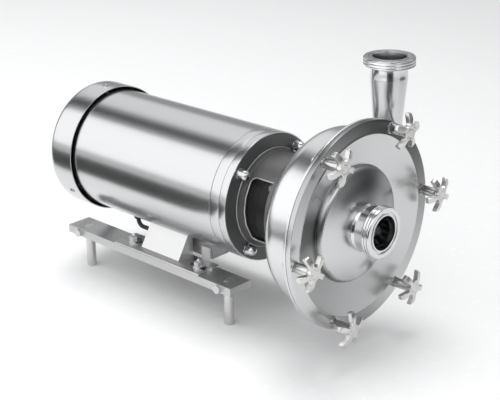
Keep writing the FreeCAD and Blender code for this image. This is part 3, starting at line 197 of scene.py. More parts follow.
# %% Arithmetic on shader values
class Wire:
    """One number that varies over a surface; sums on wires add Math nodes to the material."""

    def __init__(self, finish, socket):
        self.finish = finish
        self.socket = socket

    def combine(self, operation, first, second):
        return self.finish.node("ShaderNodeMath", {"operation": operation}, {0: first, 1: second})

    def __add__(self, other):
        return self.combine("ADD", self, other)

    def __radd__(self, other):
        return self.combine("ADD", other, self)

    def __sub__(self, other):
        return self.combine("SUBTRACT", self, other)

    def __rsub__(self, other):
        return self.combine("SUBTRACT", other, self)

    def __mul__(self, other):
        return self.combine("MULTIPLY", self, other)

    def __rmul__(self, other):
        return self.combine("MULTIPLY", other, self)

    def above(self, edge, width):
        """0 below the edge, 1 above it, with a soft step of the given width."""
        return self.finish.node("ShaderNodeMapRange", {"interpolation_type": "SMOOTHSTEP"}, {
            "Value": self, "From Min": edge - width / 2, "From Max": edge + width / 2}, "Result")


class Finish:
    """One material: a principled shader, a node method, and patterns laid in the pump's own frame."""

    def __init__(self, name, colour, metallic, roughness, **constants):
        self.material = bpy.data.materials.new(name)
        self.material.use_nodes = True
        self.shader = self.material.node_tree.nodes["Principled BSDF"]
        self.set("Base Color", (*colour, 1))
        self.set("Metallic", metallic)
        self.set("Roughness", roughness)
        for socket, value in constants.items():
            self.set(socket.replace("_", " "), value)
        self.colour = colour
        self.place = self.node("ShaderNodeTexCoord", {}, {}, "Object")

    def set(self, socket, value):
        if isinstance(value, Wire):
            self.material.node_tree.links.new(value.socket, self.shader.inputs[socket])
        else:
            self.shader.inputs[socket].default_value = value

    def node(self, kind, settings, sockets, output=0):
        """Adds a node, sets it up, feeds its sockets with values or wires, and returns one output."""
        item = self.material.node_tree.nodes.new(kind)
        for name, value in settings.items():
            setattr(item, name, value)
        for name, value in sockets.items():
            if isinstance(value, Wire):
                self.material.node_tree.links.new(value.socket, item.inputs[name])
            else:
                item.inputs[name].default_value = value
        return Wire(self, item.outputs[output])

    def noise(self, scale, stretch=(1, 1, 1), detail=3.0):
        """Cloudy noise between 0 and 1; stretch squeezes it along each axis into streaks."""
        place = self.node("ShaderNodeMapping", {}, {"Vector": self.place, "Scale": stretch})
        return self.node("ShaderNodeTexNoise", {"noise_dimensions": "3D"}, {
            "Vector": place, "Scale": scale, "Detail": detail}, "Fac")

    def axis(self, name):
        """One coordinate of the surface point, in metres."""
        return self.node("ShaderNodeSeparateXYZ", {}, {0: self.place}, name)

    def tint(self, amount, other):
        """Base colour that goes from the finish's own colour to another as amount goes from 0 to 1."""
        mixed = self.node("ShaderNodeMix", {"data_type": "RGBA"}, {
            "Factor": amount, 6: (*self.colour, 1), 7: (*other, 1)}, 2)
        self.set("Base Color", mixed)

    def relief(self, height, depth):
        """Bump from a height between 0 and 1, with its depth in metres."""
        self.set("Normal", self.node("ShaderNodeBump", {}, {
            "Height": height, "Distance": depth, "Strength": 1.0}, "Normal"))


print("shader arithmetic ready: + - * on wires, and one method for every other node")

# %% [markdown]
# The sheet metal is brushed along its length, so its streaks are noise squeezed across the shaft and
# drawn out along it. The pressed casing is brushed round and round, so there the distance from the
# shaft is what the noise reads, and the streaks become rings. The cover's base colour also carries
# painted shade: dark fans at set angles round the shaft, standing in for light fanning out on turned
# metal.

# %% Sheet and plate finishes
RIM_FROM, DOME_TO = 0.1335, 0.0835


def brushed_along(name, colour, roughness, axis_stretch=(1.5, 140, 140), depth=0.000008):
    """Fine straight brushing: roughness and a shallow relief follow noise drawn out along one axis."""
    finish = Finish(name, colour, 1.0, roughness)
    fine = finish.noise(14.0, axis_stretch)
    broad = finish.noise(5.0, (0.3, 4, 4))
    finish.set("Roughness", roughness + (fine - 0.5) * 0.08 + (broad - 0.5) * 0.05)
    finish.tint((fine - 0.3) * 0.6, tuple(0.86 * value for value in colour))
    finish.relief(fine, depth)
    return finish


def brushed_round(name, colour, roughness, depth=0.00002):
    """Turned or spun metal: rings of noise that depend on the distance from the shaft and along it."""
    finish = Finish(name, colour, 1.0, roughness)
    across = finish.node("ShaderNodeVectorMath", {"operation": "LENGTH"}, {
        0: finish.node("ShaderNodeVectorMath", {"operation": "MULTIPLY"}, {
            0: finish.place, 1: (0, 1, 1)})}, "Value")
    spot = finish.node("ShaderNodeCombineXYZ", {}, {0: finish.axis("X"), 1: across})
    rings = finish.node("ShaderNodeTexNoise", {"noise_dimensions": "3D"}, {
        "Vector": spot, "Scale": 1400.0, "Detail": 2.0}, "Fac")
    clouds = finish.noise(9.0)
    finish.set("Roughness", roughness + (rings - 0.5) * 0.08 + (clouds - 0.5) * 0.08)
    finish.tint((rings - 0.3) * 0.4, tuple(0.9 * value for value in colour))
    finish.relief(rings, depth)
    return finish


def painted_fan_shading(name, colour, roughness):
    """Turned plate in three rings, rim, cone and dome, with soft dark fans round the shaft.

    The fans are painted shade in the base colour at set angles round the shaft, standing in for the way
    grooves that run round the shaft spread light across themselves and keep a turned ring from looking
    even.
    """
    finish = Finish(name, colour, 1.0, roughness)
    side, rise = finish.axis("Y"), finish.axis("Z")
    out = finish.node("ShaderNodeMath", {"operation": "SQRT"}, {0: side * side + rise * rise})
    angle = finish.node("ShaderNodeMath", {"operation": "ARCTAN2"}, {0: rise, 1: side})

    def fan(darkest, sharpness):
        turn = finish.node("ShaderNodeMath", {"operation": "COSINE"}, {0: angle - math.radians(darkest)})
        return finish.node("ShaderNodeMath", {"operation": "POWER"}, {0: turn * 0.5 + 0.5, 1: sharpness})

    rim, dome = out.above(RIM_FROM, 0.001), 1 - out.above(DOME_TO, 0.006)
    cone = (1 - rim) * (1 - dome)
    rim_fans = fan(62, 1.6) * 0.95 + fan(-95, 16) * 0.5
    cone_fans = fan(200, 2.0) * 0.55 + fan(168, 60) * 0.6
    dome_fans = fan(20, 2.0) * 0.5 + fan(88, 14) * 0.5
    # painted shade: the dark fans, summed here, are painted into the base colour below
    shade = rim * rim_fans + cone * cone_fans + dome * dome_fans + finish.noise(7.0) * 0.12
    finish.set("Roughness", roughness + shade * 0.10)
    finish.tint(shade, tuple(0.16 * value for value in colour))
    rings = finish.node("ShaderNodeTexNoise", {"noise_dimensions": "1D"}, {
        "W": out, "Scale": 1200.0, "Detail": 2.0}, "Fac")
    finish.relief(rings, 0.000003)
    return finish


shroud_sheet = brushed_along("shroud_sheet", (0.62, 0.625, 0.63), 0.22)
casing_satin = brushed_round("casing_satin", (0.68, 0.685, 0.69), 0.24, 0.0000015)
# the polished cover's base colour carries painted shade in dark fans round the shaft
cover_polish_painted_shade = painted_fan_shading("cover_polish_painted_shade", (0.66, 0.665, 0.67), 0.23)
union_polish = brushed_round("union_polish", (0.72, 0.725, 0.73), 0.17, 0.000004)
# painted shade: the impeller's steel is painted near black, so the casing's bore looks dark inside
vane_steel_painted_shade = brushed_round("vane_steel_painted_shade", (0.16, 0.16, 0.165), 0.38)
base_plate = brushed_along("base_plate", (0.56, 0.56, 0.56), 0.30, (3, 60, 60), 0.00001)
foot_plate = brushed_along("foot_plate", (0.66, 0.66, 0.66), 0.34, (3, 60, 60), 0.00001)
leg_bar = brushed_round("leg_bar", (0.64, 0.64, 0.645), 0.26, 0.00001)
bright_fixing = brushed_round("bright_fixing", (0.60, 0.60, 0.61), 0.20, 0.000006)
print("sheet finishes made")

# %% [markdown]
# Castings, paint and mouldings have no streaks. A casting's look comes from a fine grain in its surface,
# darker in the pits. Paint has a slight orange peel under a thin gloss, and a moulding a matt texture
# with faint scuffs.

# %% Cast, painted and moulded finishes
def cast_metal(name, colour, metallic, roughness, grain, depth):
    """Cast surface: fine grain gives relief, colour and roughness together."""
    finish = Finish(name, colour, metallic, roughness)
    pits = finish.noise(grain, detail=6.0)
    clouds = finish.noise(18.0)
    finish.set("Roughness", roughness + (pits - 0.5) * 0.22)
    finish.tint(pits * 0.5 + clouds * 0.4 - 0.2, tuple(0.62 * value for value in colour))
    finish.relief(pits, depth)
    return finish


def paint(name, colour, roughness, gloss=1.0):
    """Satin paint with a little orange peel and uneven gloss."""
    finish = Finish(name, colour, 0.0, roughness, Coat_Weight=0.25 * gloss, Coat_Roughness=0.2,
                    Specular_IOR_Level=0.5 * gloss)
    peel = finish.noise(420.0, detail=2.0)
    clouds = finish.noise(14.0)
    finish.set("Roughness", roughness + (clouds - 0.5) * 0.16)
    finish.tint(clouds, tuple(0.75 * value for value in colour))
    finish.relief(peel, 0.00004)
    return finish


def moulded(name, colour, roughness):
    """Plastic or rubber with a fine matt texture and faint scuffs."""
    finish = Finish(name, colour, 0.0, roughness)
    texture = finish.noise(900.0, detail=2.0)
    scuffs = finish.noise(60.0, (1, 1, 4)).above(0.62, 0.08)
    finish.set("Roughness", roughness + scuffs * 0.15)
    finish.tint(scuffs * 0.5, tuple(value + 0.05 for value in colour))
    finish.relief(texture, 0.00003)
    return finish


lantern_cast = cast_metal("lantern_cast", (0.13, 0.13, 0.132), 0.5, 0.40, 700.0, 0.00008)
# painted highlight: a much brighter copy of the cast metal, for the window beads and the lantern's lip
bead_cast_painted_highlight = cast_metal("bead_cast_painted_highlight", (0.55, 0.55, 0.55), 0.9, 0.30, 700.0, 0.00002)
star_cast = cast_metal("star_cast", (0.72, 0.715, 0.70), 1.0, 0.29, 500.0, 0.00001)
inner_cast = cast_metal("inner_cast", (0.48, 0.48, 0.49), 0.9, 0.5, 400.0, 0.0001)
flange_paint = paint("flange_paint", (0.075, 0.077, 0.078), 0.42)
guard_black = paint("guard_black", (0.012, 0.012, 0.013), 0.45, 0.35)
fan_black = moulded("fan_black", (0.03, 0.03, 0.03), 0.55)
lead_black = moulded("lead_black", (0.022, 0.022, 0.023), 0.5)
plug_grey = moulded("plug_grey", (0.60, 0.60, 0.59), 0.45)
gasket_dark = moulded("gasket_dark", (0.05, 0.05, 0.05), 0.6)
seal_dark = moulded("seal_dark", (0.12, 0.12, 0.13), 0.3)
winding = cast_metal("winding", (0.62, 0.30, 0.14), 0.6, 0.4, 300.0, 0.0002)
floor_pale = moulded("floor_pale", (0.86, 0.86, 0.86), 0.9)
card_dark = moulded("card_dark", (0.012, 0.012, 0.012), 0.9)
floor.data.materials.append(floor_pale.material)
for card in cards:
    card.data.materials.append(card_dark.material)
print("cast and moulded finishes made")

# %% [markdown]
# Most pieces of this pump are turned, spun or rolled. Each is a profile carried round a line: a grid
# with the profile one way and the angle the other. A maker breaks every sharp edge, so the profile's
# corners are rounded first; that thin line of light along each rim is what makes metal look real.

# %% Profiles and surfaces of revolution
def bend(start, end, radius, count=12):
    """Arc from start to end: centre on the chord's normal; a positive radius turns left on the way."""
    start, end = np.array(start, float), np.array(end, float)
    way = end - start
    left = np.array([-way[1], way[0]]) / np.hypot(*way)
    drop = math.sqrt(max(radius * radius - way @ way / 4, 0.0))
    centre = (start + end) / 2 + left * math.copysign(drop, radius)
    first = math.atan2(*(start - centre)[::-1])
    last = math.atan2(*(end - centre)[::-1])
    sweep = (last - first) % (2 * math.pi) if radius > 0 else -((first - last) % (2 * math.pi))
    angles = first + sweep * np.linspace(0, 1, count)
    return centre + abs(radius) * np.stack([np.cos(angles), np.sin(angles)], 1)


def profile(corners, edge, closed=True, steps=4):
    """Rounded profile from corners (along, out) or (along, out, bend radius to the next corner).

    At each corner that turns by more than a quarter of a right angle, the corner is cut back on both
    sides by edge times the tangent of half the turn and an arc is put in. All lengths are in mm.
    """
    points, sharp = [], []
    for here, after in zip(corners, corners[1:] + corners[:1]):
        if len(here) == 3:
            arc = bend(here[:2], after[:2], here[2])[:-1]
            points.extend(arc)
            sharp.extend([True] + [False] * (len(arc) - 1))
        else:
            points.append(np.array(here, float))
            sharp.append(True)
    points = np.array(points)
    result = []
    count = len(points)
    for i, corner in enumerate(points):
        before, after = points[i - 1] - corner, points[(i + 1) % count] - corner
        reach = min(np.hypot(*before), np.hypot(*after))
        open_end = not closed and i in (0, count - 1)
        if open_end or not sharp[i] or reach < 1e-6:
            result.append(corner)
            continue
        before, after = before / np.hypot(*before), after / np.hypot(*after)
        turn = math.pi - math.acos(float(np.clip(before @ after, -1, 1)))
        if turn < math.pi / 8:
            result.append(corner)
            continue
        cut = min(edge * math.tan(turn / 2), 0.45 * reach)
        share = np.linspace(0, 1, steps)[:, None]
        first, last = corner + before * cut, corner + after * cut
        result.extend((1 - share) ** 2 * first + 2 * share * (1 - share) * corner + share ** 2 * last)
    return np.array(result)


def grid_faces(rows, columns, wrap_rows, wrap_columns):
    """Quads of a grid whose vertices are numbered row by row."""
    i = np.arange(rows if wrap_rows else rows - 1)[:, None]
    j = np.arange(columns if wrap_columns else columns - 1)[None, :]
    below, beside = (i + 1) % rows, (j + 1) % columns
    quads = np.stack([i * columns + j, i * columns + beside, below * columns + beside,
                      below * columns + j], -1)
    return quads.reshape(-1, 4)


def make_piece(name, points, faces, finish, body, nodes=(), crease=32):
    """A mesh object from arrays, closed at its poles, smooth up to the crease, riding on its body."""
    mesh = bpy.data.meshes.new(name)
    mesh.from_pydata(points.reshape(-1, 3).tolist(), [], faces.tolist())
    shape = bmesh.new()
    shape.from_mesh(mesh)
    bmesh.ops.remove_doubles(shape, verts=shape.verts, dist=1e-6)
    bmesh.ops.recalc_face_normals(shape, faces=shape.faces)
    shape.to_mesh(mesh)
    shape.free()
    mesh.shade_smooth()
    mesh.set_sharp_from_angle(angle=math.radians(crease))
    mesh.materials.append(finish.material)
    piece = bpy.data.objects.new(name, mesh)
    SCENE.collection.objects.link(piece)
    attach(piece, body)
    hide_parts(*nodes)
    return piece


def around_axis(along, out, angles, centre, upright=False):
    """Points at a distance along a line and out from it; the line is +X, or +Z for an upright piece."""
    along, out, angles = np.broadcast_arrays(along, out, angles)
    side, rise = out * np.cos(angles), out * np.sin(angles)
    axes = (side, rise, along) if upright else (along, side, rise)
    return (np.stack(axes, -1) + np.array(centre, float)) * MM


def turned(name, outline, finish, body, nodes, centre=(0, 0, 0), upright=False, segments=192,
           ridge=None):
    """Surface of revolution: out = profile(v) + ridge(along, angle), for angles once round the line."""
    angles = np.linspace(0, 2 * math.pi, segments, endpoint=False)[None, :]
    along, out = outline[:, :1], outline[:, 1:]
    if ridge is not None:
        out = out + ridge(along, out, angles)
    points = around_axis(along, out, angles, centre, upright)
    faces = grid_faces(len(outline), segments, True, True)
    return make_piece(name, points, faces, finish, body, nodes)


SQUARE = [(0, 0), (10, 0), (10, 10), (0, 10)]
print("a square has 4 corners, and with its edges broken", len(profile(SQUARE, 2.0)), "points")

# %% [markdown]
# The front cover is pressed from thick sheet and polished: a flat rim, a shallow cone running in, a
# steep shoulder and a gentle dome up to the suction neck. Seen as a mirror it tells every error, so
# it gets the finest grid of all.

# %% Front cover
COVER_FACE, COVER_JOINT, DOME_BACK, CREASE_BACK, SHOULDER_BACK = -39.6, -47.6, -31.6, -52.6, -43.0
RIM_R, LIP_R, CREASE_R, SHOULDER_R, NECK_FOOT_R, BORE_R = 153.2, 133.0, 87.0, 78.0, 36.0, 25.0
COVER_WALL, SPIGOT_R = 4.0, 130.6
SHOULDER_BEND, DOME_BEND = 13, 150


def front_cover():
    """The outline runs in over the front from the rim to the bore, and back out behind."""
    front = [
        (COVER_JOINT, RIM_R), (COVER_FACE, RIM_R), (COVER_FACE, LIP_R + 2), (COVER_FACE + 1, LIP_R),
        (CREASE_BACK, CREASE_R, -SHOULDER_BEND), (SHOULDER_BACK, SHOULDER_R, -DOME_BEND),
        (DOME_BACK, NECK_FOOT_R), (DOME_BACK, BORE_R)]
    behind = [
        (DOME_BACK - COVER_WALL, BORE_R), (DOME_BACK - COVER_WALL, NECK_FOOT_R, DOME_BEND),
        (SHOULDER_BACK - COVER_WALL, SHOULDER_R - 2, SHOULDER_BEND),
        (CREASE_BACK - COVER_WALL, CREASE_R - 2), (COVER_JOINT, SPIGOT_R)]
    return turned("polished_cover", profile(front + behind, 0.9), cover_polish_painted_shade, "pump", ["front_cover"],
                  segments=256)


front_cover()
print("cover: %.1f mm across, its dome %.1f mm before its face" % (2 * RIM_R, DOME_BACK - COVER_FACE))

# %% [markdown]
# A dairy union has a coarse round thread, three or four waves wide, with a seat groove in its face.
# The thread is a helix, so its height depends on the place along the union and on the angle together:
# one full wave per pitch, shifted by one pitch in each turn.

# %% Unions with their round thread
PITCH = 4.233
THREAD_DEPTH, THREAD_FADE = 1.15, 1.2
THREAD_FROM, THREAD_TO = -13.6, -1.0
THREAD_R, FACE_R, SEAT_OUT, SEAT_IN, SEAT_DEPTH = 38.0, 36.5, 30.5, 27.5, 2.5
LAND_FROM, LAND_TO, LAND_STEP = -1.5, -12.5, 0.35
NECK_FROM, TAPER_FROM = -16.0, -28.1


def round_thread(along, out, angles):
    """Depth times (cosine of 2 pi (along / pitch - angle / 2 pi) - 1) / 2, faded out at both ends."""
    wave = (np.cos(2 * math.pi * along / PITCH - angles) - 1) / 2
    begins, ends = (along - THREAD_FROM) / THREAD_FADE, (THREAD_TO - along) / THREAD_FADE
    fade = np.clip(begins, 0, 1) * np.clip(ends, 0, 1)
    outside = (out > NECK_FOOT_R).astype(float)
    return THREAD_DEPTH * wave * fade * outside


def union(name, node, neck, foot, centre, upright):
    """Seat and face, then the thread's land in steps short enough for its waves, then neck and bore."""
    seat = [(0, SEAT_IN), (-SEAT_DEPTH, SEAT_IN), (-SEAT_DEPTH, SEAT_OUT), (0, SEAT_OUT), (0, FACE_R)]
    steps = [(x, THREAD_R) for x in np.arange(LAND_FROM - 0.4, LAND_TO + 0.1, -LAND_STEP)]
    land = [(LAND_FROM, THREAD_R)] + steps + [(LAND_TO, THREAD_R)]
    tail = [(NECK_FROM, neck), (TAPER_FROM, neck), (DOME_BACK, foot), (DOME_BACK, BORE_R), (0, BORE_R)]
    outline = profile(seat + land + tail, 0.6)
    return turned(name, outline, union_polish, "pump", [node], centre, upright, 192,
                  ridge=round_thread)


OUTLET = (-80.6, 107.0, 0)
OUTLET_TOP = 219.0
union("suction_union", "inlet_union", 32.5, NECK_FOOT_R, (0, 0, 0), False)
union("discharge_union_body", "discharge_union", 27.3, 27.9, (*OUTLET[:2], OUTLET_TOP), True)
print("unions: %.0f mm over the thread, %.0f mm bore" % (2 * THREAD_R, 2 * BORE_R))

# %% [markdown]
# The casing is a deep pressed pot with a flat rim, and a fine step in that rim keeps its joint with the
# cover in shadow. Behind the pot a ring takes the lantern's studs. The discharge pipe stands on it off
# centre, where the liquid leaves the wheel, and a low weld bead runs round the pipe's foot: the curve
# where a small upright cylinder meets a large lying one.

# %% Casing, discharge pipe and weld bead
CASING_R, CASING_BACK, CASING_WALL, CASING_BEND = 134.0, -118.6, 3.0, 28.0
RIM_BACK, JOINT_GAP, JOINT_DEEP = -52.6, 0.7, 1.2
HUB_FRONT, HUB_R, SHAFT_HOLE_R = -103.6, 45.0, 24.0
RING_BACK, RING_IN_R, RING_OUT_R = -142.6, 60.0, 82.0
PIPE_FOOT, CONE_FROM, CONE_TO = 60.0, 123.0, 187.4
PIPE_R, PIPE_BORE_R, CONE_TOP_R = 21.8, 20.0, 27.3


def casing():
    """The outline runs back along the inside, out over hub and ring, and forward along the outside."""
    inside = [
        (COVER_JOINT - JOINT_GAP, RIM_R), (COVER_JOINT - JOINT_GAP, RIM_R - JOINT_DEEP),
        (COVER_JOINT, RIM_R - JOINT_DEEP), (COVER_JOINT, CASING_R - CASING_WALL),
        (CASING_BACK + CASING_BEND, CASING_R - CASING_WALL, CASING_BEND - CASING_WALL),
        (CASING_BACK + CASING_WALL, CASING_R - CASING_BEND), (CASING_BACK + CASING_WALL, HUB_R),
        (HUB_FRONT, HUB_R), (HUB_FRONT, SHAFT_HOLE_R)]
    outside = [
        (CASING_BACK, SHAFT_HOLE_R), (CASING_BACK, RING_IN_R), (RING_BACK, RING_IN_R),
        (RING_BACK, RING_OUT_R), (CASING_BACK, RING_OUT_R),
        (CASING_BACK, CASING_R - CASING_BEND, -CASING_BEND), (CASING_BACK + CASING_BEND, CASING_R),
        (RIM_BACK, CASING_R), (RIM_BACK, RIM_R)]
    return turned("casing_pot", profile(inside + outside, 1.1), casing_satin, "pump", ["casing_shell"],
                  segments=256)


def discharge_pipe():
    """Straight stub, then a cone up to the union, as one tube with its bore."""
    outline = profile([
        (PIPE_FOOT, PIPE_R), (CONE_FROM, PIPE_R), (CONE_TO, CONE_TOP_R), (CONE_TO, BORE_R),
        (CONE_FROM, PIPE_BORE_R), (PIPE_FOOT, PIPE_BORE_R)], 0.4)
    return turned("discharge_pipe", outline, casing_satin, "pump", ["discharge_reducer"], OUTLET, True,
                  segments=128)


def weld_bead():
    """Ring of a small round section whose centre line lies on both cylinders: z = root(R^2 - y^2).

    Its thickness swells and shrinks many times on the way round, as a hand-laid bead does.
    """
    steps, section = 160, 10
    bead_r, swell, swells = 1.5, 0.15, 40
    t = np.linspace(0, 2 * math.pi, steps, endpoint=False)[:, None]
    around = np.linspace(0, 2 * math.pi, section, endpoint=False)[None, :]
    y = OUTLET[1] + PIPE_R * np.sin(t)
    z = np.sqrt(CASING_R ** 2 - y ** 2)
    thick = bead_r + swell * np.cos(swells * t)
    out = PIPE_R + thick * np.cos(around)
    points = np.stack(np.broadcast_arrays(
        OUTLET[0] + out * np.cos(t), OUTLET[1] + out * np.sin(t), z + thick * np.sin(around)), -1) * MM
    faces = grid_faces(steps, section, True, True)
    return make_piece("discharge_weld", points, faces, casing_satin, "pump")


casing()
discharge_pipe()
weld_bead()
print("casing: %.0f mm across, %.0f mm deep" % (2 * CASING_R, RIM_BACK - CASING_BACK))

# %% [markdown]
# The motor wears a rolled stainless shroud. Its front edge is a separate band with two fine seams,
# and the fan cowl stands off behind it with a dark gap. The cut-out under the shroud clears the
# terminal box: those cells of the grid are simply left out before the sheet gets its thickness. The
# cowl's air slots are made the same way, on columns that run beside each slot.

# %% Shroud, band and cowl
MOTOR_FACE = -212.6
SHROUD_R, BAND_BACK, SHROUD_BACK = 100.0, MOTOR_FACE - 32.0, MOTOR_FACE - 385.0
SHROUD_SHEET, COWL_SHEET = 1.5, 1.4
BOX_FRONT, BOX_BACK, BOX_HALF = -297.6, -436.6, 43.0
COWL_FRONT, COWL_BACK, COWL_BEND, COWL_R = MOTOR_FACE - 348.0, MOTOR_FACE - 408.0, 16.0, 106.0
SLOTS, SLOT_HALF, SLOT_LOW, SLOT_HIGH = 16, 2.5, 38.0, 80.0


def sheet_metal(piece, thick_mm):
    """Gives a bare surface the thickness of its sheet, inwards, and breaks the cut edges."""
    wall = piece.modifiers.new("sheet", "SOLIDIFY")
    wall.thickness = thick_mm * MM
    wall.offset = -1
    edges = piece.modifiers.new("broken_edges", "BEVEL")
    edges.width = 0.3 * MM
    edges.segments = 2
    edges.angle_limit = math.radians(50)
    edges.harden_normals = True
    return piece


def shroud_sheet_piece():
    """Rolled sheet: out = R for all angles, without the cells that lie over the terminal box."""
    side = math.asin(BOX_HALF / SHROUD_R)
    down = -math.pi / 2
    rest = np.linspace(down + side, down - side + 2 * math.pi, 220)
    cut = np.linspace(down - side, down + side, 25)[1:-1]
    angles = np.concatenate([rest, cut + 2 * math.pi])
    along = np.concatenate([
        np.linspace(BAND_BACK - 0.5, BOX_FRONT, 8), np.linspace(BOX_FRONT, BOX_BACK, 14)[1:],
        np.linspace(BOX_BACK, SHROUD_BACK, 14)[1:]])
    points = around_axis(along[:, None], SHROUD_R, angles[None, :], (0, 0, 0))
    faces = grid_faces(len(along), len(angles), False, True)
    middle = points.reshape(-1, 3)[faces].mean(1) / MM
    over_box = ((middle[:, 0] < BOX_FRONT) & (middle[:, 0] > BOX_BACK) & (middle[:, 2] < 0)
                & (abs(middle[:, 1]) < BOX_HALF))
    piece = make_piece("motor_shroud_sheet", points, faces[~over_box], shroud_sheet, "pump",
                       ["motor_shroud"])
    return sheet_metal(piece, SHROUD_SHEET)


def shroud_band():
    """A ring with one seam round its middle and half a seam where it meets the shroud."""
    seam, deep, middle = 0.35, 1.1, MOTOR_FACE - 13.5
    outline = profile([
        (BAND_BACK, SHROUD_R - SHROUD_SHEET), (BAND_BACK, SHROUD_R - deep), (BAND_BACK + seam, SHROUD_R),
        (middle - seam, SHROUD_R), (middle - seam, SHROUD_R - deep), (middle + seam, SHROUD_R - deep),
        (middle + seam, SHROUD_R), (MOTOR_FACE, SHROUD_R), (MOTOR_FACE, SHROUD_R - SHROUD_SHEET)], 0.3)
    return turned("shroud_band", outline, shroud_sheet, "pump", ["shroud_front_band"], segments=256)


def fan_cowl():
    """Spun cap with 16 radial slots: near a slot of half width w the columns stand at asin(w / out)."""
    first, last = SLOT_LOW - SLOT_HALF, SLOT_HIGH + SLOT_HALF
    flat = np.concatenate([[0.0, 12.0, 25.0, first], np.linspace(SLOT_LOW, SLOT_HIGH, 12), [last]])
    side = bend((COWL_BACK, COWL_R - COWL_BEND), (COWL_BACK + COWL_BEND, COWL_R), -COWL_BEND)
    skirt = np.linspace(COWL_BACK + COWL_BEND, COWL_FRONT, 4)[1:]
    out = np.concatenate([flat, side[:, 1], np.full(len(skirt), COWL_R)])[:, None]
    along = np.concatenate([np.full(len(flat), COWL_BACK), side[:, 0], skirt])
    beside_slot = (out > first - 0.1) & (out < last + 0.1)
    width = np.where(beside_slot, SLOT_HALF, SLOT_HALF * np.minimum(out, SLOT_LOW) / SLOT_LOW)
    edge = np.arcsin(width / np.maximum(out, 1e-3))
    step = 2 * math.pi / SLOTS
    share = np.linspace(0, 1, 12, endpoint=False)[None, :]
    over_slot, between = np.array([[-1.0, -0.4, 0.4]]), step - 2 * edge
    columns = np.concatenate([edge * over_slot, edge + between * share], 1)
    start = step * np.arange(SLOTS)
    angles = (columns[:, None, :] + start[None, :, None]).reshape(len(out), -1)
    points = around_axis(along[:, None], out, angles, (0, 0, 0))
    faces = grid_faces(len(out), angles.shape[1], False, True)
    row, column = faces[:, 0] // angles.shape[1], faces[:, 0] % columns.shape[1]
    middle = (out[row, 0] + out[np.minimum(row + 1, len(out) - 1), 0]) / 2
    in_slot = (column < over_slot.size) & (row < len(flat)) & (middle > SLOT_LOW) & (middle < SLOT_HIGH)
    cap = make_piece("fan_cowl_cap", points, faces[~in_slot], shroud_sheet, "pump", ["fan_cowl"])
    return sheet_metal(cap, COWL_SHEET)


shroud_sheet_piece()
shroud_band()
fan_cowl()
print("shroud: %.0f mm across; cowl with %d slots" % (2 * SHROUD_R, SLOTS))

# %% [markdown]
# Round each window of the lantern runs a cast bead, and the casting's lip against the motor is turned
# bright. Both are given a metal far brighter than the dark casting: a painted highlight along the window
# edges, and on the lip its turned brightness together with a painted highlight. Both are thin tubes: a
# closed line on the lantern's cylinder, with a small circle carried along it. The line is first drawn
# flat, as a rounded rectangle, and then wrapped round the cylinder.

# %% Window beads, bright lip and guard seams
LANTERN_R, GUARD_R = 72.0, 68.0
BEAD_R, BEAD_SUNK, SEAM_R, LIP_BEAD_R = 1.3, 0.4, 0.5, 0.9
WINDOW_BACK, WINDOW_FRONT, WINDOW_HALF, WINDOW_CORNER = MOTOR_FACE + 12, MOTOR_FACE + 58, 49.0, 7.0
GUARD_SEAM, SEAM_HALF, SEAM_SLANT = MOTOR_FACE + 30, 46, 0.09
LIP_RING_R, LIP_RING = 77.0, MOTOR_FACE + 1.2


def tube(name, line, across, out, radius, finish, closed=True):
    """Points = line + radius (cosine across + sine out), for angles once round the small circle."""
    section = 12
    around = np.linspace(0, 2 * math.pi, section, endpoint=False)[None, :, None]
    circle = np.cos(around) * across[:, None] + np.sin(around) * out[:, None]
    points = (line[:, None] + radius * circle) * MM
    faces = grid_faces(len(line), section, closed, True)
    return make_piece(name, points, faces, finish, "pump", crease=60)


def wrapped(along, height, radius, side):
    """Lays flat coordinates (along, height) on a cylinder: turn = asin(height / radius)."""
    turn = np.arcsin(height / radius)
    out = np.stack([0 * turn, side * np.cos(turn), np.sin(turn)], 1)
    return np.stack([along, 0 * along, 0 * along], 1) + radius * out, out


def rounded_box(left, right, half, corner, count=14):
    """Rounded rectangle once round: its four corner arcs, which straight lines join."""
    turn = np.linspace(0, math.pi / 2, count) + np.arange(4)[:, None] * math.pi / 2
    ends, sides = np.array([right, left, left, right]), np.array([half, half, -half, -half])
    inwards_x, inwards_z = np.array([-1, 1, 1, -1]) * corner, np.array([-1, -1, 1, 1]) * corner
    x = ((ends + inwards_x)[:, None] + corner * np.cos(turn)).reshape(-1)
    z = ((sides + inwards_z)[:, None] + corner * np.sin(turn)).reshape(-1)
    share = np.linspace(0, 1, 4, endpoint=False)[:, None]
    return [((1 - share) * a + share * np.roll(a, -1)).T.reshape(-1) for a in (x, z)]


def window_trim(side, label):
    """A bead round one window, sunk a little in the casting, and a slanting seam line on its guard."""
    along, height = rounded_box(WINDOW_BACK, WINDOW_FRONT, WINDOW_HALF, WINDOW_CORNER)
    line, out = wrapped(along, height, LANTERN_R - BEAD_SUNK, side)
    ahead = np.roll(line, -1, 0) - np.roll(line, 1, 0)
    ahead /= np.linalg.norm(ahead, axis=1)[:, None]
    tube("window_bead_" + label, line, np.cross(ahead, out), out, BEAD_R, bead_cast_painted_highlight)
    height = np.linspace(-SEAM_HALF, SEAM_HALF, 40)
    line, out = wrapped(GUARD_SEAM + SEAM_SLANT * height, height, GUARD_R, side)
    across = np.broadcast_to([1.0, 0, 0], out.shape)
    tube("guard_seam_" + label, line, across, out, SEAM_R, guard_black, closed=False)


def bright_lip():
    """A ring of small round section at the lantern's lip."""
    turn = np.linspace(0, 2 * math.pi, 200, endpoint=False)
    out = np.stack([0 * turn, np.cos(turn), np.sin(turn)], 1)
    line = LIP_RING_R * out + np.array([LIP_RING, 0, 0])
    across = np.broadcast_to([1.0, 0, 0], out.shape)
    tube("lantern_lip", line, across, out, LIP_BEAD_R, bead_cast_painted_highlight)


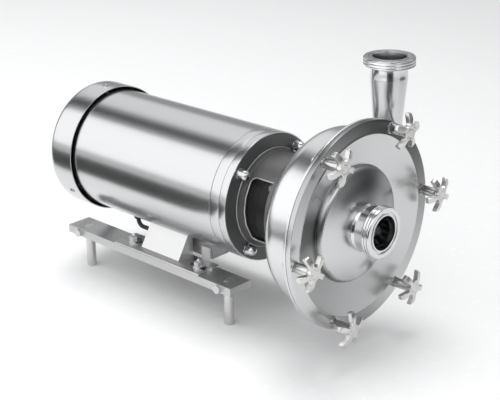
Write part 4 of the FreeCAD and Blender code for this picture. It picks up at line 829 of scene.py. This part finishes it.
window_trim(-1, "near")
window_trim(1, "far")
bright_lip()
print("beads round the windows: %.0f by %.0f mm" % (WINDOW_FRONT - WINDOW_BACK, 2 * WINDOW_HALF))

# %% [markdown]
# Each of the four domed nuts on the motor's flange catches one round spark of light. A faceted copy
# would break that spark up, so the nuts are turned anew: head, stem, washer, collar and half a ball.

# %% Domed nuts on the flange
FLANGE_BOLTS, FLANGE_BOLT_RING, FLANGE_BOLT_PHASE = 4, 87.0, 51.0
FLANGE_GRIP, BOLT_HEAD, BOLT_WASHER = 12.0, 6.4, 1.6


def domed_nuts():
    """Copies of one turned outline in one mesh; the clamped face is at 0 along the outline."""
    stem, collar, washer, ball_from, segments = 5.0, 8.1, 9.0, 9.5, 48
    low = -FLANGE_GRIP - BOLT_HEAD
    outline = profile([
        (low, 0), (low, collar), (-FLANGE_GRIP, collar), (-FLANGE_GRIP, stem), (0, stem), (0, washer),
        (BOLT_WASHER, washer), (BOLT_WASHER, collar), (ball_from, collar, -collar),
        (ball_from + collar, 0)], 0.3, closed=False)
    angles = np.linspace(0, 2 * math.pi, segments, endpoint=False)[None, :]
    faces = grid_faces(len(outline), segments, False, True)
    points, quads = [], []
    for k in range(FLANGE_BOLTS):
        place = math.radians(FLANGE_BOLT_PHASE + 360 / FLANGE_BOLTS * k)
        centre = (MOTOR_FACE, FLANGE_BOLT_RING * math.cos(place), FLANGE_BOLT_RING * math.sin(place))
        points.append(around_axis(outline[:, :1], outline[:, 1:], angles, centre).reshape(-1, 3))
        quads.append(faces + k * len(points[0]))
    return make_piece("flange_nuts_turned", np.concatenate(points), np.concatenate(quads), bright_fixing,
                      "pump", ["flange_dome_nuts"])


domed_nuts()
print("flange nuts turned:", FLANGE_BOLTS)

# %% [markdown]
# The star nuts are small castings, tumbled soft. Seen from the end each is a star with five arms and
# round valleys; from the side it is a long barrel that flares into a drooping cap. One function gives
# the star's edge for any angle, and another carries the barrel's circle out to it and back over the
# top.

# %% Star nuts
ARMS, REACH, ARM_HALF, ARM_STRAIGHT, WEB_R = 5, 27.0, 4.2, 8.0, 10.5
STARS, STAR_RING_R, STAR_PHASE = 6, 144.0, 6.0
# Where a valley of each star points, in degrees from +Y towards +Z.
STAR_TURNS = (9.0, 47.8, 13.9, 5.0, 49.6, 17.9)
BARREL_R, STAR_SOFT = 7.3, 0.9
FLARE_FROM, FLARE_OUT, FLARE_RISE = 25.0, 3.0, 3.3
SUNK_DEPTH, SUNK_IN, SUNK_OUT, SUNK_SLOPE = 0.5, 5.0, 8.6, 1.5
# Points (along, out) of the barrel's foot, and of the cap's underside and top from end to end.
NUT_FOOT = [(1.6, 5.4), (1.6, 6.7), (2.2, BARREL_R), (FLARE_FROM, BARREL_R)]
UNDER_CAP = bend((28.5, 11.3), (24.0, REACH), 34, 9)
OVER_CAP = bend((31.0, REACH), (36.0, 9.0), -34, 9)


def star_edge(angles):
    """Distance of the star's edge from its axis.

    Along an arm it is the nearer of the end, reach / cos, and the flank, half width / sin, blended by a
    high power so that the corners are round. Between arms it is the near side of a circle on the
    bisector: D cos - root(rho^2 - D^2 sin^2).
    """
    step = 2 * math.pi / ARMS
    off = np.abs((angles + step / 2) % step - step / 2)
    c, s = math.cos(step / 2), math.sin(step / 2)
    root_out = REACH - ARM_STRAIGHT
    root = np.array([root_out * c + ARM_HALF * s, root_out * s - ARM_HALF * c])
    rho = ((root[0] - WEB_R) ** 2 + root[1] ** 2) / (2 * (root[0] - WEB_R))
    far = WEB_R + rho
    end = REACH / np.cos(off)
    flank = ARM_HALF / np.sin(np.maximum(off, 1e-3))
    power = 14.0
    arm = (end ** -power + flank ** -power) ** (-1 / power)
    from_bisector = step / 2 - off
    square = rho ** 2 - (far * np.sin(from_bisector)) ** 2
    valley = far * np.cos(from_bisector) - np.sqrt(np.maximum(square, 0))
    return np.where(off > math.atan2(ARM_HALF, root_out), valley, arm)


def star_angles():
    """Angles once round, close together at the arms' corners and wider in the valleys."""
    half = np.radians(np.concatenate([
        np.linspace(0, 6, 3), np.linspace(7, 11, 7), np.linspace(12, 14, 3), np.linspace(16, 36, 9)]))
    arm = np.concatenate([-half[:0:-1], half[:-1]])
    return (arm[None, :] + np.radians(360.0 / ARMS * np.arange(ARMS))[:, None]).reshape(-1)


def level(curve, out):
    """Place along the nut where a curve is at a given distance out."""
    order = np.argsort(curve[:, 1])
    return np.interp(out, curve[order, 1], curve[order, 0])


def star_nut(number):
    """Grid of stations: up the barrel, out under the cap, round its edge and in over the top.

    Each station is a pair (along, out) for all angles. The barrel flares by a quarter ellipse, the
    edge is half an ellipse between the cap's two curves, and a shallow ring is sunk in the top.
    """
    angles = star_angles()
    edge = star_edge(angles)[None, :]
    rim = edge - STAR_SOFT
    rows = [(np.full_like(edge, x), np.full_like(edge, out)) for x, out in NUT_FOOT]
    neck = np.radians(np.linspace(0, 90, 6))[:, None]
    flare = np.minimum(BARREL_R + FLARE_OUT * (1 - np.cos(neck)), rim)
    rows.append((FLARE_FROM + FLARE_RISE * np.sin(neck) + 0 * edge, flare))
    out = flare[-1:] + (rim - flare[-1:]) * np.linspace(0.15, 1, 6)[:, None]
    rows.append((level(UNDER_CAP, out), out))
    swing = np.radians(np.linspace(-90, 90, 9))[:, None]
    low, high = level(UNDER_CAP, rim), level(OVER_CAP, rim)
    rows.append(((low + high) / 2 + (high - low) / 2 * np.sin(swing), rim + STAR_SOFT * np.cos(swing)))
    out = rim * np.linspace(0.92, 0, 10)[:, None]
    begins, ends = (out - SUNK_IN) / SUNK_SLOPE, (SUNK_OUT - out) / SUNK_SLOPE
    sunk = SUNK_DEPTH * np.clip(begins, 0, 1) * np.clip(ends, 0, 1)
    rows.append((level(OVER_CAP, out) - sunk, out))
    along = np.concatenate([row[0].reshape(-1, len(angles)) for row in rows])
    out = np.concatenate([row[1].reshape(-1, len(angles)) for row in rows])
    place = math.radians(STAR_PHASE + 360 / STARS * (number - 1))
    centre = (COVER_FACE, STAR_RING_R * math.cos(place), STAR_RING_R * math.sin(place))
    turned_by = angles[None, :] + math.radians(STAR_TURNS[number - 1] + 180 / ARMS)
    points = around_axis(along, out, turned_by, centre)
    faces = grid_faces(len(along), len(angles), False, True)
    name = "star_nut_%d" % number
    make_piece(name + "_cast", points, faces, star_cast, name, [name], 50)


for number in range(1, STARS + 1):
    star_nut(number)
print("star nuts cast, %.0f mm across their arms" % (2 * REACH))

# %% [markdown]
# Everything else keeps its measured shape. The solids come as loose triangles, so each is copied, its
# doubles are merged, and a small bevel breaks its edges. That is quick, and it suits bolts, bars,
# brackets and castings, whose outlines are already right. Bars and plates have their bevel only on
# long edges, so that the small edges where pieces meet keep their corners.

# %% Bevelled copies of the other solids
CREASE = math.radians(34)


def softened(node, finish, body, edge_mm, slot, least_mm=0.8):
    """The solid's own surface with those sharp edges rounded that are longer than a least length."""
    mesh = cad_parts[node].data.copy()
    shape = bmesh.new()
    shape.from_mesh(mesh)
    bmesh.ops.remove_doubles(shape, verts=shape.verts, dist=1e-6)
    bmesh.ops.dissolve_limit(shape, angle_limit=math.radians(0.3), verts=shape.verts, edges=shape.edges)
    weight = shape.edges.layers.float.new("bevel_weight_edge")
    for edge in shape.edges:
        sharp = len(edge.link_faces) == 2 and edge.calc_face_angle() > CREASE
        edge[weight] = float(sharp and edge.calc_length() > least_mm * MM)
        edge.smooth = not sharp
    shape.to_mesh(mesh)
    shape.free()
    mesh.materials.clear()
    mesh.materials.append(finish.material)
    piece = bpy.data.objects.new(node + "_body", mesh)
    SCENE.collection.objects.link(piece)
    mesh.polygons.foreach_set("use_smooth", np.ones(len(mesh.polygons), bool))
    if edge_mm:
        rounding = piece.modifiers.new("broken_edges", "BEVEL")
        rounding.width = edge_mm * MM
        rounding.segments = 2
        rounding.limit_method = "WEIGHT"
        rounding.harden_normals = True
    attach(piece, body)
    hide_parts(node)
    return piece


# Each node's finish, the width of its broken edges in mm, its slot, and for some the least length of an
# edge that is broken.
SOFTENED = {
    "rail_near": (base_plate, 0.6, "base_steel", 12), "rail_far": (base_plate, 0.6, "base_steel", 12),
    "foot_near": (foot_plate, 0.4, "base_steel", 5), "foot_far": (foot_plate, 0.4, "base_steel", 5),
    "lantern": (lantern_cast, 0.6, "lantern_casting"),
    "motor_flange": (flange_paint, 0.5, "flange_paint"),
    "casing_mounting_nuts": (bright_fixing, 0.25, "bright_fixings"),
    "foot_bolts": (bright_fixing, 0.25, "bright_fixings"),
    "leg_lock_bolts": (bright_fixing, 0.25, "bright_fixings"),
    "cowl_screws": (bright_fixing, 0.2, "bright_fixings"),
    "cover_studs": (bright_fixing, 0.2, "bright_fixings"),
    "terminal_box": (inner_cast, 0.6, "box_casting"),
    "terminal_box_lid": (inner_cast, 0.6, "box_casting"),
    "box_side_plug": (plug_grey, 0.5, "plug_plastic"),
    "cable_glands": (lead_black, 0.3, "gland_plastic"),
    "window_guard_near": (guard_black, 0.3, "guard_black"),
    "window_guard_far": (guard_black, 0.3, "guard_black"),
    "motor_lead": (lead_black, 0, "lead_rubber"),
}
for node, (finish, edge_mm, slot, *least) in SOFTENED.items():
    softened(node, finish, "pump", edge_mm, slot, *least)
for number in range(1, 5):
    softened("leg_%d" % number, leg_bar, "leg_%d" % number, 0.3, "base_steel")
for number in range(1, STARS + 1):
    name = "star_washer_%d" % number
    softened(name, bright_fixing, name, 0.2, "bright_fixings")
print("bevelled copies made")

# %% [markdown]
# The pieces that work out of sight keep their plain solids and get a fitting finish each, so that the
# pump can be opened in an exploded view without a bare grey piece in it.

# %% Finishes of the inner pieces
# the impeller and its nut are painted near black as painted shade inside the bore
INNER = {
    "impeller": vane_steel_painted_shade, "impeller_nut": vane_steel_painted_shade, "stub_shaft": leg_bar,
    "shaft_clamp_ring": leg_bar, "seal_rotating_ring": seal_dark, "seal_stationary_ring": seal_dark,
    "motor_shaft": leg_bar, "rotor_core": inner_cast, "stator_core": inner_cast,
    "stator_housing": inner_cast, "rear_end_shield": inner_cast, "stator_windings": winding,
    "front_bearing": bright_fixing, "rear_bearing": bright_fixing, "cooling_fan": fan_black,
    "cover_gasket": gasket_dark, "lantern_screws": bright_fixing,
}
for node, finish in INNER.items():
    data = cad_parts[node].data
    data.materials.clear()
    data.materials.append(finish.material)
print("inner pieces finished:", len(INNER))

# %% Sizes and finish
print("measured box, low and high corner in metres:", CAD_BOX)
